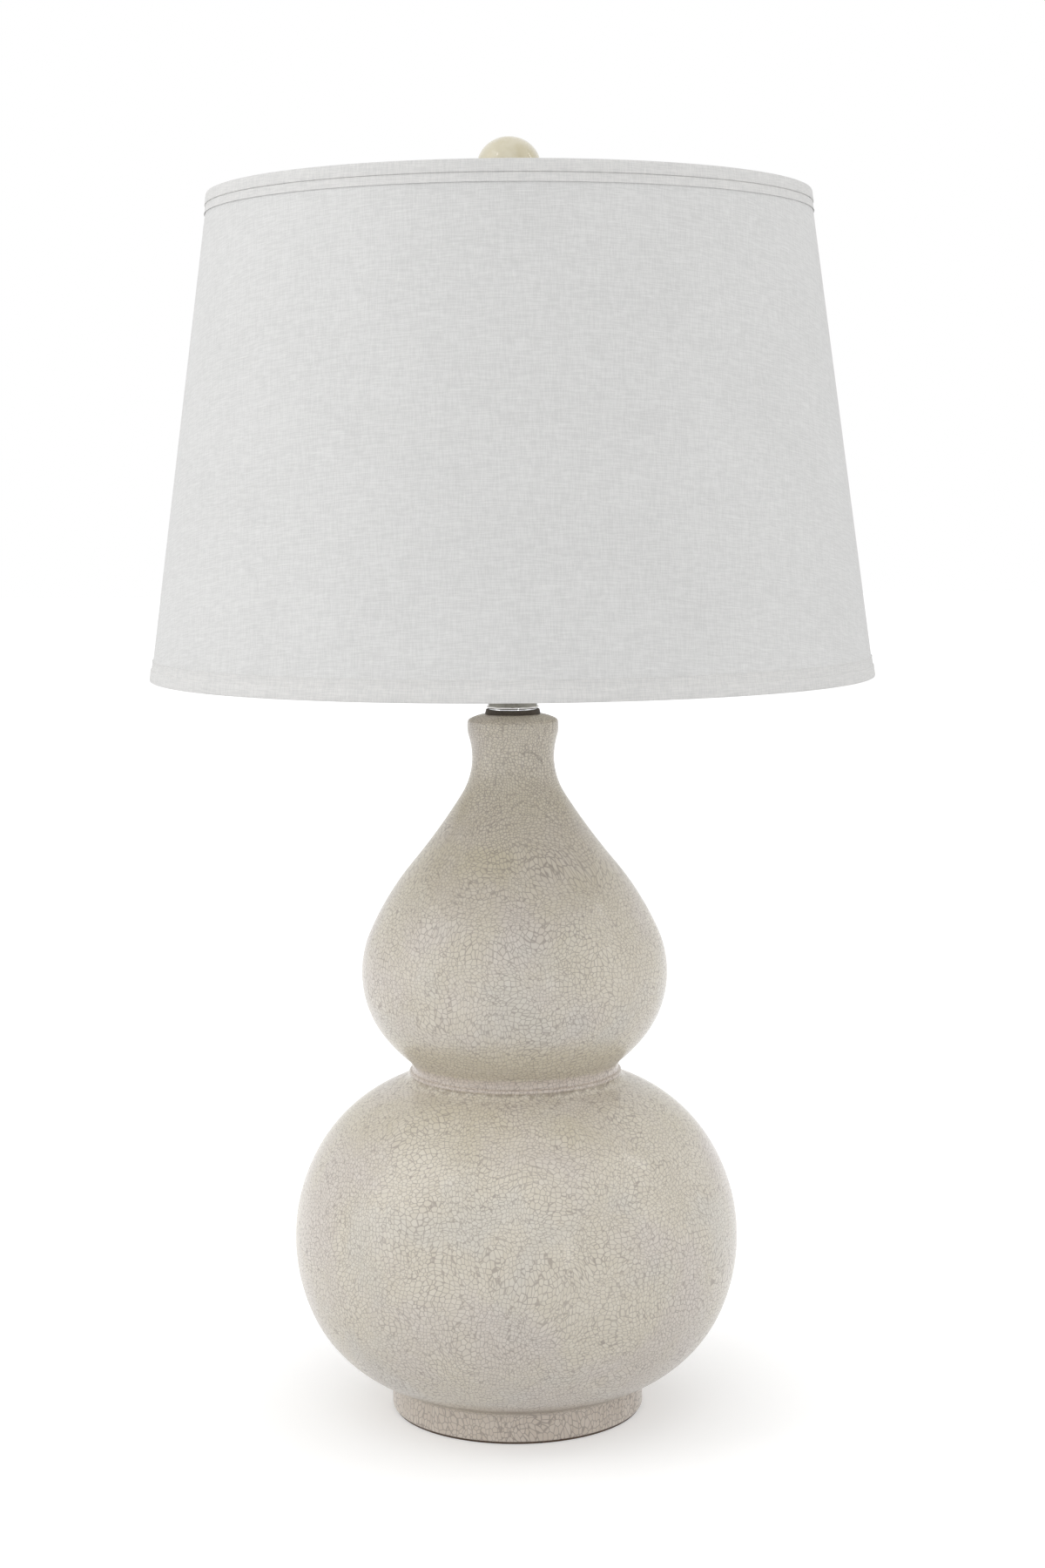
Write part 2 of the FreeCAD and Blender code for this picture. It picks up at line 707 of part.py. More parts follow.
def base_fittings():
    felt_outer = "foot_radius - felt_inset"
    ring("foot_felt", FOOT_INNER, felt_outer, "0", "felt_thickness")
    ring("base_washer", "pipe_radius + slip", "washer_radius", WASHER_BOTTOM, "recess_height")
    lock = ring(
        "lock_washer", "pipe_radius + slip", "lock_washer_radius", LOCK_BOTTOM, WASHER_BOTTOM
    )
    split = new_sketch(lock, "split", "XY_Plane")
    gap = "lock_washer_thickness / 2"
    draw(
        split,
        [
            ("0", f"0 - {gap}"),
            ("lock_washer_radius + 1", f"0 - {gap}"),
            ("lock_washer_radius + 1", gap),
            ("0", gap),
        ],
    )
    pocket(lock, split, reverse=True)

    nut = new_body("base_nut")
    hexagon = new_sketch(nut, "hexagon", "XY_Plane", NUT_BOTTOM)
    across_corners = "nut_across_flats / (2 * cos(30))"
    corners = [
        (f"{across_corners} * cos({angle})", f"{across_corners} * sin({angle})")
        for angle in range(0, 360, 60)
    ]
    draw(hexagon, corners)
    draw_circle(hexagon, "0", "0", "pipe_radius + pipe_fit")
    pad(nut, hexagon, "nut_thickness")
    bevel = new_sketch(nut, "bevel")
    draw(
        bevel,
        [
            ("nut_across_flats / 2", NUT_BOTTOM),
            ("nut_across_flats", NUT_BOTTOM),
            ("nut_across_flats", f"{NUT_BOTTOM} + nut_across_flats / 3"),
        ],
    )
    revolve(nut, bevel, cut=True)

    ring(
        "lamp_pipe",
        "pipe_bore",
        "pipe_radius",
        f"{NUT_BOTTOM} - pipe_below_nut",
        f"{SADDLE_TOP} + socket_hub_height - slip",
    )

    bushing = turned(
        "cord_bushing",
        [
            ("bushing_bore", f"{FOOT_INNER} - bushing_tail"),
            ("outlet_radius - slip", f"{FOOT_INNER} - bushing_tail"),
            ("outlet_radius - slip", "foot_radius + slip"),
            ("bushing_flange", "foot_radius + slip"),
            ("bushing_flange", "foot_radius + slip + bushing_flange_thickness / 2"),
            (
                "bushing_flange - bushing_flange_thickness / 2",
                "foot_radius + slip + bushing_flange_thickness",
                "bushing_flange_thickness / 2",
            ),
            ("bushing_bore", "foot_radius + slip + bushing_flange_thickness"),
        ],
    )
    place(bushing, z="outlet_height", rotation=Rotation(Vector(1, 0, 0), -90))


def neck_fittings():
    turned(
        "neck_gasket",
        [
            ("gasket_bore", NECK_TOP),
            ("gasket_radius", NECK_TOP),
            ("gasket_top_radius", GASKET_TOP),
            ("gasket_bore", GASKET_TOP),
        ],
    )
    inner_round = "(cap_round - cap_thickness)"
    bore = "pipe_radius + slip"
    turned(
        "vase_cap",
        [
            ("cap_skirt_radius - cap_thickness", GASKET_TOP),
            ("cap_skirt_radius", GASKET_TOP),
            ("cap_crown_radius", f"{GASKET_TOP} + cap_thickness"),
            ("cap_crown_radius", f"{CAP_TOP} - cap_round"),
            ("cap_crown_radius - cap_round", CAP_TOP, "cap_round"),
            (bore, CAP_TOP),
            (bore, f"{CAP_TOP} - cap_thickness"),
            ("cap_crown_radius - cap_round", f"{CAP_TOP} - cap_thickness"),
            ("cap_crown_radius - cap_thickness", f"{CAP_TOP} - cap_round", f"0 - {inner_round}"),
        ],
    )


def harp_saddle():
    """Sprung steel strip with two upturned tabs, narrowed where the ferrules slide on."""
    body = new_body("harp_saddle")
    side = new_sketch(body, "side")
    inner = "(harp_foot_spread - saddle_thickness / 2)"
    outer = "(harp_foot_spread + saddle_thickness / 2)"
    tight = "(saddle_bend - saddle_thickness)"
    draw(
        side,
        [
            (f"0 - {outer}", TAB_TOP),
            (f"0 - {outer}", f"{CAP_TOP} + saddle_bend"),
            (f"0 - {outer} + saddle_bend", CAP_TOP, "saddle_bend"),
            (f"{outer} - saddle_bend", CAP_TOP),
            (outer, f"{CAP_TOP} + saddle_bend", "saddle_bend"),
            (outer, TAB_TOP),
            (inner, TAB_TOP),
            (inner, f"{SADDLE_TOP} + {tight}"),
            (f"{inner} - {tight}", SADDLE_TOP, f"0 - {tight}"),
            (f"{tight} - {inner}", SADDLE_TOP),
            (f"0 - {inner}", f"{SADDLE_TOP} + {tight}", f"0 - {tight}"),
            (f"0 - {inner}", TAB_TOP),
        ],
    )
    pad(body, side, "saddle_width", midplane=True)
    for name, way in (("front", "0 - "), ("back", "")):
        notch = new_sketch(body, f"notch_{name}", "YZ_Plane")
        draw(
            notch,
            [
                (f"{way}tab_width / 2", SHOULDER_TOP),
                (f"{way}saddle_width", SHOULDER_TOP),
                (f"{way}saddle_width", f"{TAB_TOP} + 1"),
                (f"{way}tab_width / 2", f"{TAB_TOP} + 1"),
            ],
        )
        pocket(body, notch, both_ways=True)
    hole_through(body, "pipe_hole", "pipe_radius + slip")


# Socket --------------------------------------------------------------------------


def thread_corners(root, depth, bottom, turns):
    """Rounded crests of a rolled thread, going up from bottom."""
    corners = []
    crest = swell("thread_pitch / 4", depth)
    for turn in range(turns):
        corners.append((root, f"{bottom} + thread_pitch * {turn + 0.25}"))
        corners.append((root, f"{bottom} + thread_pitch * {turn + 0.75}", crest))
    return corners


# The nested layers of the socket, from the shell inwards, and the seat of its terminals
SHELL_OUTER = "(socket_cap_radius - socket_thickness - slip)"
LINER_OUTER = f"({SHELL_OUTER} - socket_thickness - slip)"
CORE_OUTER = f"({LINER_OUTER} - liner_thickness - 3 * slip)"
TERMINAL_SEAT = f"({CORE_OUTER} - terminal_head_thickness - play)"


def socket_metalwork():
    """Cap, outer shell and set screw."""
    flare_top = f"({SADDLE_TOP} + socket_hub_height + socket_cap_flare)"
    cap = turned(
        "socket_cap",
        [
            ("pipe_radius + pipe_fit", SADDLE_TOP),
            ("socket_hub_radius", SADDLE_TOP),
            ("socket_hub_radius", f"{SADDLE_TOP} + socket_hub_height - socket_thickness"),
            ("socket_cap_radius", flare_top, "socket_cap_flare * 1.25"),
            ("socket_cap_radius", f"{SADDLE_TOP} + socket_cap_height"),
            ("socket_cap_radius - socket_thickness", f"{SADDLE_TOP} + socket_cap_height"),
            ("socket_cap_radius - socket_thickness", flare_top),
            (
                "socket_hub_radius - socket_thickness",
                f"{SADDLE_TOP} + socket_hub_height",
                "0 - socket_cap_flare * 1.25",
            ),
            ("pipe_radius + pipe_fit", f"{SADDLE_TOP} + socket_hub_height"),
        ],
    )
    screw_hole = new_sketch(cap, "screw_hole", "YZ_Plane")
    draw_circle(screw_hole, "0", f"{SADDLE_TOP} + socket_hub_height / 2", "set_screw_radius + slip")
    pocket(cap, screw_hole, "socket_hub_radius + 1", reverse=True)

    screw = turned(
        "cap_set_screw",
        [
            ("0", "0"),
            ("set_screw_radius", "0"),
            ("set_screw_radius", "set_screw_length"),
            ("0", "set_screw_length"),
        ],
    )
    slot = new_sketch(screw, "slot", "XZ_Plane")
    draw(
        slot,
        [
            ("0 - set_screw_radius / 4", "set_screw_length - set_screw_radius / 2"),
            ("set_screw_radius / 4", "set_screw_length - set_screw_radius / 2"),
            ("set_screw_radius / 4", "set_screw_length + 1"),
            ("0 - set_screw_radius / 4", "set_screw_length + 1"),
        ],
    )
    pocket(screw, slot, both_ways=True)
    place(
        screw,
        x="pipe_radius + pipe_fit",
        z=f"{SADDLE_TOP} + socket_hub_height / 2",
        rotation=Rotation(Vector(0, 1, 0), 90),
    )

    bead_low = f"{SHELL_TOP} - 5 * shell_bead"
    bead_top = f"{SHELL_TOP} - 2 * shell_bead"
    shell = turned(
        "socket_shell",
        [
            (f"{SHELL_OUTER} - socket_thickness", SHELL_BOTTOM),
            (SHELL_OUTER, SHELL_BOTTOM),
            (SHELL_OUTER, bead_low),
            (SHELL_OUTER, bead_top, swell("1.5 * shell_bead", "shell_bead")),
            (SHELL_OUTER, SHELL_TOP),
            (f"{SHELL_OUTER} - socket_thickness", SHELL_TOP),
        ],
    )
    switch_slot(shell)


def switch_slot(body):
    """An arched notch in the front of a sleeve, which drops over the switch stem."""
    notch = new_sketch(body, "notch")
    half = "(stem_radius + play)"
    draw(
        notch,
        [
            (f"0 - {half}", f"{SHELL_BOTTOM} - 1"),
            (half, f"{SHELL_BOTTOM} - 1"),
            (half, SWITCH_AXIS),
            ("0", f"{SWITCH_AXIS} + {half}", half),
            (f"0 - {half}", SWITCH_AXIS, half),
        ],
    )
    pocket(body, notch, "socket_cap_radius + 1", reverse=True)


def socket_inside():
    """Liner, moulded core, screw shell, centre contact and terminal screws."""
    liner_inner = f"{LINER_OUTER} - liner_thickness"
    liner_top = f"{SHELL_TOP} - socket_thickness"
    sleeve = ring("socket_liner", liner_inner, LINER_OUTER, CORE_BOTTOM, liner_top)
    switch_slot(sleeve)

    body = turned(
        "socket_body",
        [
            ("0", CORE_BOTTOM),
            (f"{CORE_OUTER} - core_bevel", CORE_BOTTOM),
            (CORE_OUTER, f"{CORE_BOTTOM} + core_bevel"),
            (CORE_OUTER, CORE_TOP),
            ("0", CORE_TOP),
        ],
    )
    outside = LINER_OUTER
    sides = (("right", TERMINAL_SEAT, outside), ("left", f"0 - {outside}", f"0 - {TERMINAL_SEAT}"))
    for name, low, high in sides:
        recess = new_sketch(body, f"recess_{name}", "XZ_Plane")
        draw(
            recess,
            [
                (low, f"{TERMINAL_AXIS} - terminal_head - 1"),
                (high, f"{TERMINAL_AXIS} - terminal_head - 1"),
                (high, f"{TERMINAL_AXIS} + terminal_head + 1"),
                (low, f"{TERMINAL_AXIS} + terminal_head + 1"),
            ],
        )
        pocket(body, recess, both_ways=True)
    hole_through(body, "terminal_holes", "terminal_shank + slip", "YZ_Plane", "0", TERMINAL_AXIS)
    stem_hole = new_sketch(body, "stem_hole")
    draw_circle(stem_hole, "0", SWITCH_AXIS, "stem_radius + stem_fit")
    pocket(body, stem_hole, "socket_cap_radius", reverse=True)

    root = "screw_shell_radius - screw_shell_depth"
    bore = f"{root} - screw_shell_thickness"
    crests = thread_corners(root, "screw_shell_depth", CORE_TOP, THREAD_TURNS)
    troughs = thread_corners(bore, "screw_shell_depth", CORE_TOP, THREAD_TURNS)
    shell_top = f"{CORE_TOP} + thread_pitch * {THREAD_TURNS}"
    back_down = [(bore, shell_top)]
    for low, high in reversed(list(zip(troughs[::2], troughs[1::2]))):
        back_down.append(high[:2])
        back_down.append((*low, f"0 - {high[2]}"))
    turned(
        "screw_shell",
        [(bore, CORE_TOP), (root, CORE_TOP), *crests, (root, shell_top), *back_down],
    )

    contact = new_body("centre_contact")
    strip = new_sketch(contact, "strip")
    sheet_up = "contact_thickness"
    draw(
        strip,
        [
            ("0 - contact_length", CORE_TOP),
            ("0 - contact_length / 3", CORE_TOP),
            ("contact_length / 6", f"{CORE_TOP} + 2 * {sheet_up}"),
            ("contact_length / 2", f"{CORE_TOP} + 2 * {sheet_up}"),
            ("contact_length / 2", f"{CORE_TOP} + 3 * {sheet_up}"),
            ("contact_length / 8", f"{CORE_TOP} + 3 * {sheet_up}"),
            ("0 - contact_length / 2.6", f"{CORE_TOP} + {sheet_up}"),
            ("0 - contact_length", f"{CORE_TOP} + {sheet_up}"),
        ],
    )
    pad(contact, strip, "contact_width", midplane=True)


def terminal_screws():
    """Two slotted binding screws, one on each side of the moulded core."""
    sideways = Rotation(Vector(0, 1, 0), 90)

    head = doc.addObject("Part::Cylinder", "terminal_head")
    head.setExpression("Radius", bound("terminal_head"))
    head.setExpression("Height", bound("terminal_head_thickness"))
    place(head, x=TERMINAL_SEAT, z=TERMINAL_AXIS, rotation=sideways)
    shank = doc.addObject("Part::Cylinder", "terminal_shank")
    shank.setExpression("Radius", bound("terminal_shank"))
    shank.setExpression("Height", bound("terminal_depth"))
    place(shank, x=f"{TERMINAL_SEAT} - terminal_depth", z=TERMINAL_AXIS, rotation=sideways)
    blank = doc.addObject("Part::Fuse", "terminal_blank")
    blank.Base = head
    blank.Tool = shank
    slot = doc.addObject("Part::Box", "terminal_slot")
    slot.setExpression("Length", bound("terminal_slot"))
    slot.setExpression("Width", bound("2.5 * terminal_head"))
    slot.setExpression("Height", bound("terminal_slot"))
    place(
        slot,
        x=f"{TERMINAL_SEAT} + terminal_head_thickness - terminal_slot",
        y="0 - 1.25 * terminal_head",
        z=f"{TERMINAL_AXIS} - terminal_slot / 2",
    )
    right = doc.addObject("Part::Cut", "terminal_right")
    right.Base = blank
    right.Tool = slot
    left = doc.addObject("Part::Mirroring", "terminal_left")
    left.Source = right
    left.Normal = Vector(1, 0, 0)
    pair = doc.addObject("Part::Compound", "terminal_screws")
    pair.Label = "terminal_screws"
    pair.Links = [right, left]


def switch():
    """Turn knob with its stem, pointing to the front; drawn upright, then laid forward."""
    forward = Rotation(Vector(1, 0, 0), 90)
    stem = turned(
        "switch_stem",
        [
            ("0", "stem_inner_end"),
            ("stem_radius", "stem_inner_end"),
            ("stem_radius", "stem_outer_end"),
            ("0", "stem_outer_end"),
        ],
    )
    place(stem, z=SWITCH_AXIS, rotation=forward)
    base = "stem_outer_end - 3"
    knob = turned(
        "switch_knob",
        [
            ("0", "stem_outer_end"),
            ("stem_radius + slip / 2", "stem_outer_end"),
            ("stem_radius + slip / 2", base),
            ("knob_radius", base),
            ("knob_radius", f"{base} + 3"),
            ("knob_tip_radius", f"{base} + knob_length - 1.5"),
            ("knob_tip_radius - 1.5", f"{base} + knob_length", "1.5"),
            ("0", f"{base} + knob_length"),
        ],
    )
    flute = new_sketch(knob, "flute", "XY_Plane", f"{base} + 3.5")
    draw_circle(flute, "knob_radius + knob_flute / 2", "0", "knob_flute")
    cut = pocket(knob, flute, "knob_length", reverse=True)
    around = knob.newObject("PartDesign::PolarPattern", "knob_flutes")
    around.Originals = [cut]
    around.Axis = (flute, ["N_Axis"])
    around.Occurrences = KNOB_FLUTES
    knob.Tip = around
    doc.recompute()
    place(knob, z=SWITCH_AXIS, rotation=forward)


# Bulb ----------------------------------------------------------------------------


def bulb():
    turned(
        "bulb_contact",
        [
            ("0", BULB_TIP),
            ("bulb_contact_radius - bulb_contact_height", BULB_TIP),
            ("bulb_contact_radius", BULB_INSULATOR, "bulb_contact_height"),
            ("0", BULB_INSULATOR),
        ],
    )
    turned(
        "bulb_insulator",
        [
            ("0", BULB_INSULATOR),
            ("bulb_contact_radius + 1", BULB_INSULATOR),
            ("bulb_thread_radius - bulb_thread_depth", BULB_CAP),
            ("0", BULB_CAP),
        ],
    )
    root = "bulb_thread_radius - bulb_thread_depth"
    crests = thread_corners(root, "bulb_thread_depth", BULB_CAP, THREAD_TURNS)
    turned(
        "bulb_cap",
        [
            ("0", BULB_CAP),
            (root, BULB_CAP),
            *crests,
            (root, f"{BULB_CAP} + thread_pitch * {THREAD_TURNS}"),
            ("bulb_thread_radius", f"{BULB_NECK}"),
            ("bulb_thread_radius", f"{BULB_NECK} + bulb_neck_height"),
            ("bulb_neck_radius + slip", f"{BULB_NECK} + bulb_neck_height"),
            ("bulb_neck_radius + slip", BULB_NECK),
            ("0", BULB_NECK),
        ],
    )
    turn = "bulb_glass_angle"
    flare = f"((bulb_glass_radius * cos({turn}) - bulb_neck_radius) / (1 - cos({turn})))"
    neck_top = f"({BULB_NECK} + bulb_neck_height)"
    join_level = f"({neck_top} + {flare} * sin({turn}))"
    centre = f"({join_level} + bulb_glass_radius * sin({turn}))"
    inner = "(bulb_glass_radius - bulb_glass_wall)"
    turned(
        "bulb_glass",
        [
            ("bulb_neck_radius - bulb_glass_wall", BULB_NECK),
            ("bulb_neck_radius", BULB_NECK),
            ("bulb_neck_radius", neck_top),
            (f"bulb_glass_radius * cos({turn})", join_level, f"0 - {flare}"),
            ("bulb_glass_radius", centre, "bulb_glass_radius"),
            ("0", f"{centre} + bulb_glass_radius", "bulb_glass_radius"),
            ("0", f"{centre} + {inner}"),
            (inner, centre, f"0 - {inner}"),
            (f"{inner} * cos({turn})", f"{centre} - {inner} * sin({turn})", f"0 - {inner}"),
            ("bulb_neck_radius - bulb_glass_wall", neck_top, f"{flare} + bulb_glass_wall"),
        ],
    )


# Harp ----------------------------------------------------------------------------


def harp():
    """Wire loop round the bulb: one half swept along its path and mirrored, then pierced."""
    body = new_body("harp_loop")
    path = new_sketch(body, "path")
    foot_level = f"{TAB_TOP} + play"
    flare_start = f"({foot_level} + harp_leg)"
    flare_end = f"({flare_start} + harp_flare_rise)"
    side_top = f"({flare_end} + harp_side)"
    half_out = "((harp_spread - harp_foot_spread) / 2)"
    half_up = "(harp_flare_rise / 2)"
    flare = f"(({half_out} * {half_out} + {half_up} * {half_up}) / (2 * {half_out}))"
    edges = draw(
        path,
        [
            ("harp_foot_spread", foot_level),
            ("harp_foot_spread", flare_start),
            (f"harp_foot_spread + {half_out}", f"{flare_start} + {half_up}", f"0 - {flare}"),
            ("harp_spread", flare_end, flare),
            ("harp_spread", side_top),
        ],
        closed=False,
    )
    crown_round = value("harp_crown_round")
    start = Vector(value("harp_spread"), value(side_top), 0)
    end = Vector(value("harp_crown_half"), value(CROWN), 0)
    crown_centre = end - Vector(0, crown_round, 0)
    across = start.x - crown_centre.x
    up = crown_centre.y - start.y
    bow = (across**2 + up**2 - crown_round**2) / (2 * (across - crown_round))
    bow_centre = start - Vector(bow, 0, 0)
    meet = bow_centre + (crown_centre - bow_centre).normalize() * bow
    sides = add_arc(path, bow_centre, start, meet)
    crown = add_arc(path, crown_centre, meet, end)
    join(path, edges[-1], sides, tangent=True)
    join(path, sides, crown, tangent=True)
    size = Sketcher.Constraint("Radius", crown[0], crown_round)
    bind(path, size, "harp_crown_round")
    pin(path, crown[0], crown[2], "harp_crown_half", CROWN)
    pin_x(path, crown[0], 3, "harp_crown_half")

    section = new_sketch(body, "section", "XY_Plane", foot_level)
    draw_circle(section, "harp_foot_spread", "0", "harp_wire")
    sweep(body, path, section)

    disc = new_sketch(body, "disc", "XY_Plane", PAD_BOTTOM)
    draw_circle(disc, "0", "0", "crown_pad_radius")
    pad(body, disc, "crown_pad_thickness")
    half = body.Tip
    mirrored = body.newObject("PartDesign::Mirrored", "harp_halves")
    mirrored.Originals = [body.getObject("harp_loop_path_swept"), half]
    mirrored.MirrorPlane = (path, ["V_Axis"])
    body.Tip = mirrored
    doc.recompute()
    hole_through(body, "pivot_hole", "stud_bore")

    for name, side in (("ferrule_left", "0 - "), ("ferrule_right", "")):
        top = "ferrule_height"
        lip = "(ferrule_radius - ferrule_bore) / 2"
        ferrule = turned(
            name,
            [
                ("ferrule_bore", "0"),
                ("ferrule_radius", "0"),
                ("ferrule_radius", f"{top} - {lip}"),
                (f"ferrule_radius - {lip}", top, lip),
                ("ferrule_bore", top),
            ],
        )
        place(ferrule, x=f"{side}harp_foot_spread", z=f"{SHOULDER_TOP} + play / 2")


def harp_stud():
    shoulder_bottom = f"{PAD_TOP} + play"
    head_top = f"({PAD_BOTTOM} - play)"
    pin_top = f"{STUD_SEAT} + stud_pin_length"
    turned(
        "harp_stud",
        [
            ("0", f"{head_top} - stud_head_thickness"),
            ("stud_head_radius / 2", f"{head_top} - stud_head_thickness"),
            ("stud_head_radius", f"{head_top} - stud_head_thickness / 3", "stud_head_radius * 0.75"),
            ("stud_head_radius", head_top),
            ("stud_shank", head_top),
            ("stud_shank", shoulder_bottom),
            ("stud_shoulder_radius", shoulder_bottom),
            ("stud_shoulder_radius", STUD_SEAT),
            ("stud_pin_radius", STUD_SEAT),
            ("stud_pin_radius", f"{pin_top} - 0.8"),
            ("stud_pin_radius - 0.8", pin_top),
            ("0", pin_top),
        ],
    )


# Shade ---------------------------------------------------------------------------


def shade_band(name, outer_inset, inner_inset, bottom, top):
    """A tapered sleeve of the shade's wall between two levels."""
    turned(
        name,
        [
            (shade_wall(inner_inset, bottom), bottom),
            (shade_wall(outer_inset, bottom), bottom),
            (shade_wall(outer_inset, top), top),
            (shade_wall(inner_inset, top), top),
        ],
    )


def wire_ring(name, level):
    torus = doc.addObject("Part::Torus", name)
    torus.Label = name
    torus.setExpression("Radius1", bound(ring_radius(level)))
    torus.setExpression("Radius2", bound("ring_wire"))
    place(torus, z=level)


def ring_radius(level):
    """Radius of a wire ring that sits just inside the liner at a level."""
    layers = "trim_thickness + cover_thickness + liner_sheet"
    return shade_wall(f"{layers} + ring_slack + ring_wire", level)


def trim(name, edge, ring_level, inwards):
    """Folded edge tape: a band outside, over the edge and a lip behind the wire ring.

    edge is the level of the shade's rim, and inwards the sign of the way into the shade.
    """
    band_end = f"{edge} {inwards} trim_band"
    fold = f"{edge} {inwards} trim_thickness"
    lip_end = f"{edge} {inwards} (trim_thickness + ring_wire)"
    lip_outer = f"{ring_radius(ring_level)} - ring_wire - ring_slack"
    lip_inner = f"{lip_outer} - trim_thickness"
    turned(
        name,
        [
            (shade_wall("0", band_end), band_end),
            (shade_wall("0", edge), edge),
            (lip_inner, edge),
            (lip_inner, lip_end),
            (lip_outer, lip_end),
            (lip_outer, fold),
            (shade_wall("trim_thickness", fold), fold),
            (shade_wall("trim_thickness", band_end), band_end),
        ],
    )


def shade():
    low = f"{SHADE_BOTTOM} + trim_thickness"
    high = f"{SHADE_TOP} - trim_thickness"
    cover_in = "trim_thickness + cover_thickness"
    shade_band("shade_cover", "trim_thickness", cover_in, low, high)
    shade_band("shade_liner", cover_in, f"{cover_in} + liner_sheet", low, high)
    wire_ring("top_ring", TOP_RING)
    wire_ring("bottom_ring", BOTTOM_RING)
    trim("top_trim", SHADE_TOP, TOP_RING, "-")
    trim("bottom_trim", SHADE_BOTTOM, BOTTOM_RING, "+")

    ring("spider_hub", "stud_pin_radius + hub_clearance", "hub_radius", HUB_BOTTOM, HUB_TOP)
    for number in range(SPIDER_ARMS):
        arm = new_body(f"spider_arm_{number + 1}")
        path = new_sketch(arm, "path")
        far = ring_radius(TOP_RING)
        draw(
            path,
            [
                ("hub_radius", ARM_LEVEL),
                (f"{far} - arm_bend", ARM_LEVEL),
                (far, f"{ARM_LEVEL} + arm_bend", "arm_bend"),
                (far, f"{TOP_RING} - ring_wire"),
            ],
            closed=False,
        )
        section = new_sketch(arm, "section", "YZ_Plane", "hub_radius")
        draw_circle(section, "0", ARM_LEVEL, "arm_wire")
        sweep(arm, path, section)
        angle = 90 + number * 360 / SPIDER_ARMS
        arm.Placement = Placement(Vector(), Rotation(Vector(0, 0, 1), angle))


# Finial --------------------------------------------------------------------------


def finial():
    collar = swell("finial_collar / 2", "finial_collar_radius - finial_waist_radius")
    turned(
        "finial_base",
        [
            ("stud_pin_radius + hub_clearance", FINIAL_BASE),
            ("finial_flange_radius", FINIAL_BASE),
            ("finial_flange_radius", f"{FINIAL_BASE} + finial_flange_thickness"),
            ("finial_waist_radius", f"{FINIAL_BASE} + finial_base_height / 2", "0 - 8"),
            ("finial_waist_radius", f"{KNOB_SEAT} - finial_collar"),
            ("finial_waist_radius", KNOB_SEAT, collar),
            ("0", KNOB_SEAT),
            ("0", f"{FINIAL_BASE} + finial_bore_depth"),
            ("stud_pin_radius + hub_clearance", f"{FINIAL_BASE} + finial_bore_depth"),
        ],
    )
    body = new_body("finial_knob")
    ball = body.newObject("PartDesign::AdditiveEllipsoid", "ball")
    ball.setExpression("Radius1", bound("finial_half_height"))
    ball.setExpression("Radius2", bound("finial_radius"))
    ball.setExpression("Radius3", bound("finial_radius"))
    doc.recompute()
    flat = new_sketch(body, "flat")
    draw(
        flat,
        [
            ("0", "0 - finial_half_height - 1"),
            ("finial_radius", "0 - finial_half_height - 1"),
            ("finial_radius", "finial_flat - finial_half_height"),
            ("0", "finial_flat - finial_half_height"),
        ],
    )
    revolve(body, flat, cut=True)
    place(body, z=KNOB_CENTRE)


def export():
    """Check every object and every sub-part, then write one file for each sub-part."""
    doc.recompute()
    for item in doc.Objects:
        if {"Invalid", "Error"} & set(item.State):
            raise RuntimeError(f"{item.Name} failed: {item.State}")
    pieces = [o for o in doc.Objects if o.isDerivedFrom("PartDesign::Body")]
    pieces += [o for o in doc.Objects if o.Label in ("top_ring", "bottom_ring", "terminal_screws")]
    os.makedirs("parts", exist_ok=True)
    for piece in pieces:
        shape = piece.Shape
        if shape.isNull() or not shape.isValid() or shape.Volume <= 0:
            raise RuntimeError(f"{piece.Label} has no valid solid")
        shape.exportStep(f"parts/{piece.Label}.step")
    print(f"{len(pieces)} sub-parts written")


gourd_body()
base_fittings()
neck_fittings()
harp_saddle()
socket_metalwork()
socket_inside()
terminal_screws()
switch()
bulb()
harp()
harp_stud()
shade()
finial()
export()
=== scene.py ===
"""Looks of a double gourd table lamp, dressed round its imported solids.

Sizes are in millimetres in the classes below, and every mesh is brought to metres once, when its
piece is made. The frame is the solids' own: +Z up the lamp's axis, the front towards -Y.
"""

import sys

import logging
import math
from dataclasses import dataclass
from enum import Enum
from functools import cache
from typing import Callable, Mapping, Optional, Sequence, Union

import bmesh
import bpy
from mathutils import Matrix, Vector


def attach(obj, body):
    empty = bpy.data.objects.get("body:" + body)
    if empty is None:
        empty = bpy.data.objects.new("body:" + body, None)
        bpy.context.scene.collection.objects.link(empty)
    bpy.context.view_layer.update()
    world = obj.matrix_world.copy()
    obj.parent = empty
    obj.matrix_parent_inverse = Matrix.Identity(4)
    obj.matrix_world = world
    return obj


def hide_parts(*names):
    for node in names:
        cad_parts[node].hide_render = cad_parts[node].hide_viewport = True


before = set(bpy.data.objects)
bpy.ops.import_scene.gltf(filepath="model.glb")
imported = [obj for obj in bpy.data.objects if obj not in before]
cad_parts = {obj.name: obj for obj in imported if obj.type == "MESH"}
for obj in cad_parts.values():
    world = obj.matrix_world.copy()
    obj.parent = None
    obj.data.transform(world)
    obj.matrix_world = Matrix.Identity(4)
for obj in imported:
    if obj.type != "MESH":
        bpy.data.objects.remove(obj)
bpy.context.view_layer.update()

MM = 0.001
Point = tuple[float, float]
Bend = tuple[float, ...]
Place = tuple[float, float, float]
Colour = tuple[float, float, float, float]
log = logging.getLogger("lamp")


def srgb(red: int, green: int, blue: int) -> Colour:
    """A colour as it reads on a screen, turned into the linear one that a shader takes.

    Args:
        red: Red, 0 to 255.
        green: Green, 0 to 255.
        blue: Blue, 0 to 255.

    Returns:
        The linear colour, opaque.
    """
    shares = (part / 255 for part in (red, green, blue))
    linear = (s / 12.92 if s <= 0.04045 else ((s + 0.055) / 1.055) ** 2.4 for s in shares)
    return (*linear, 1.0)


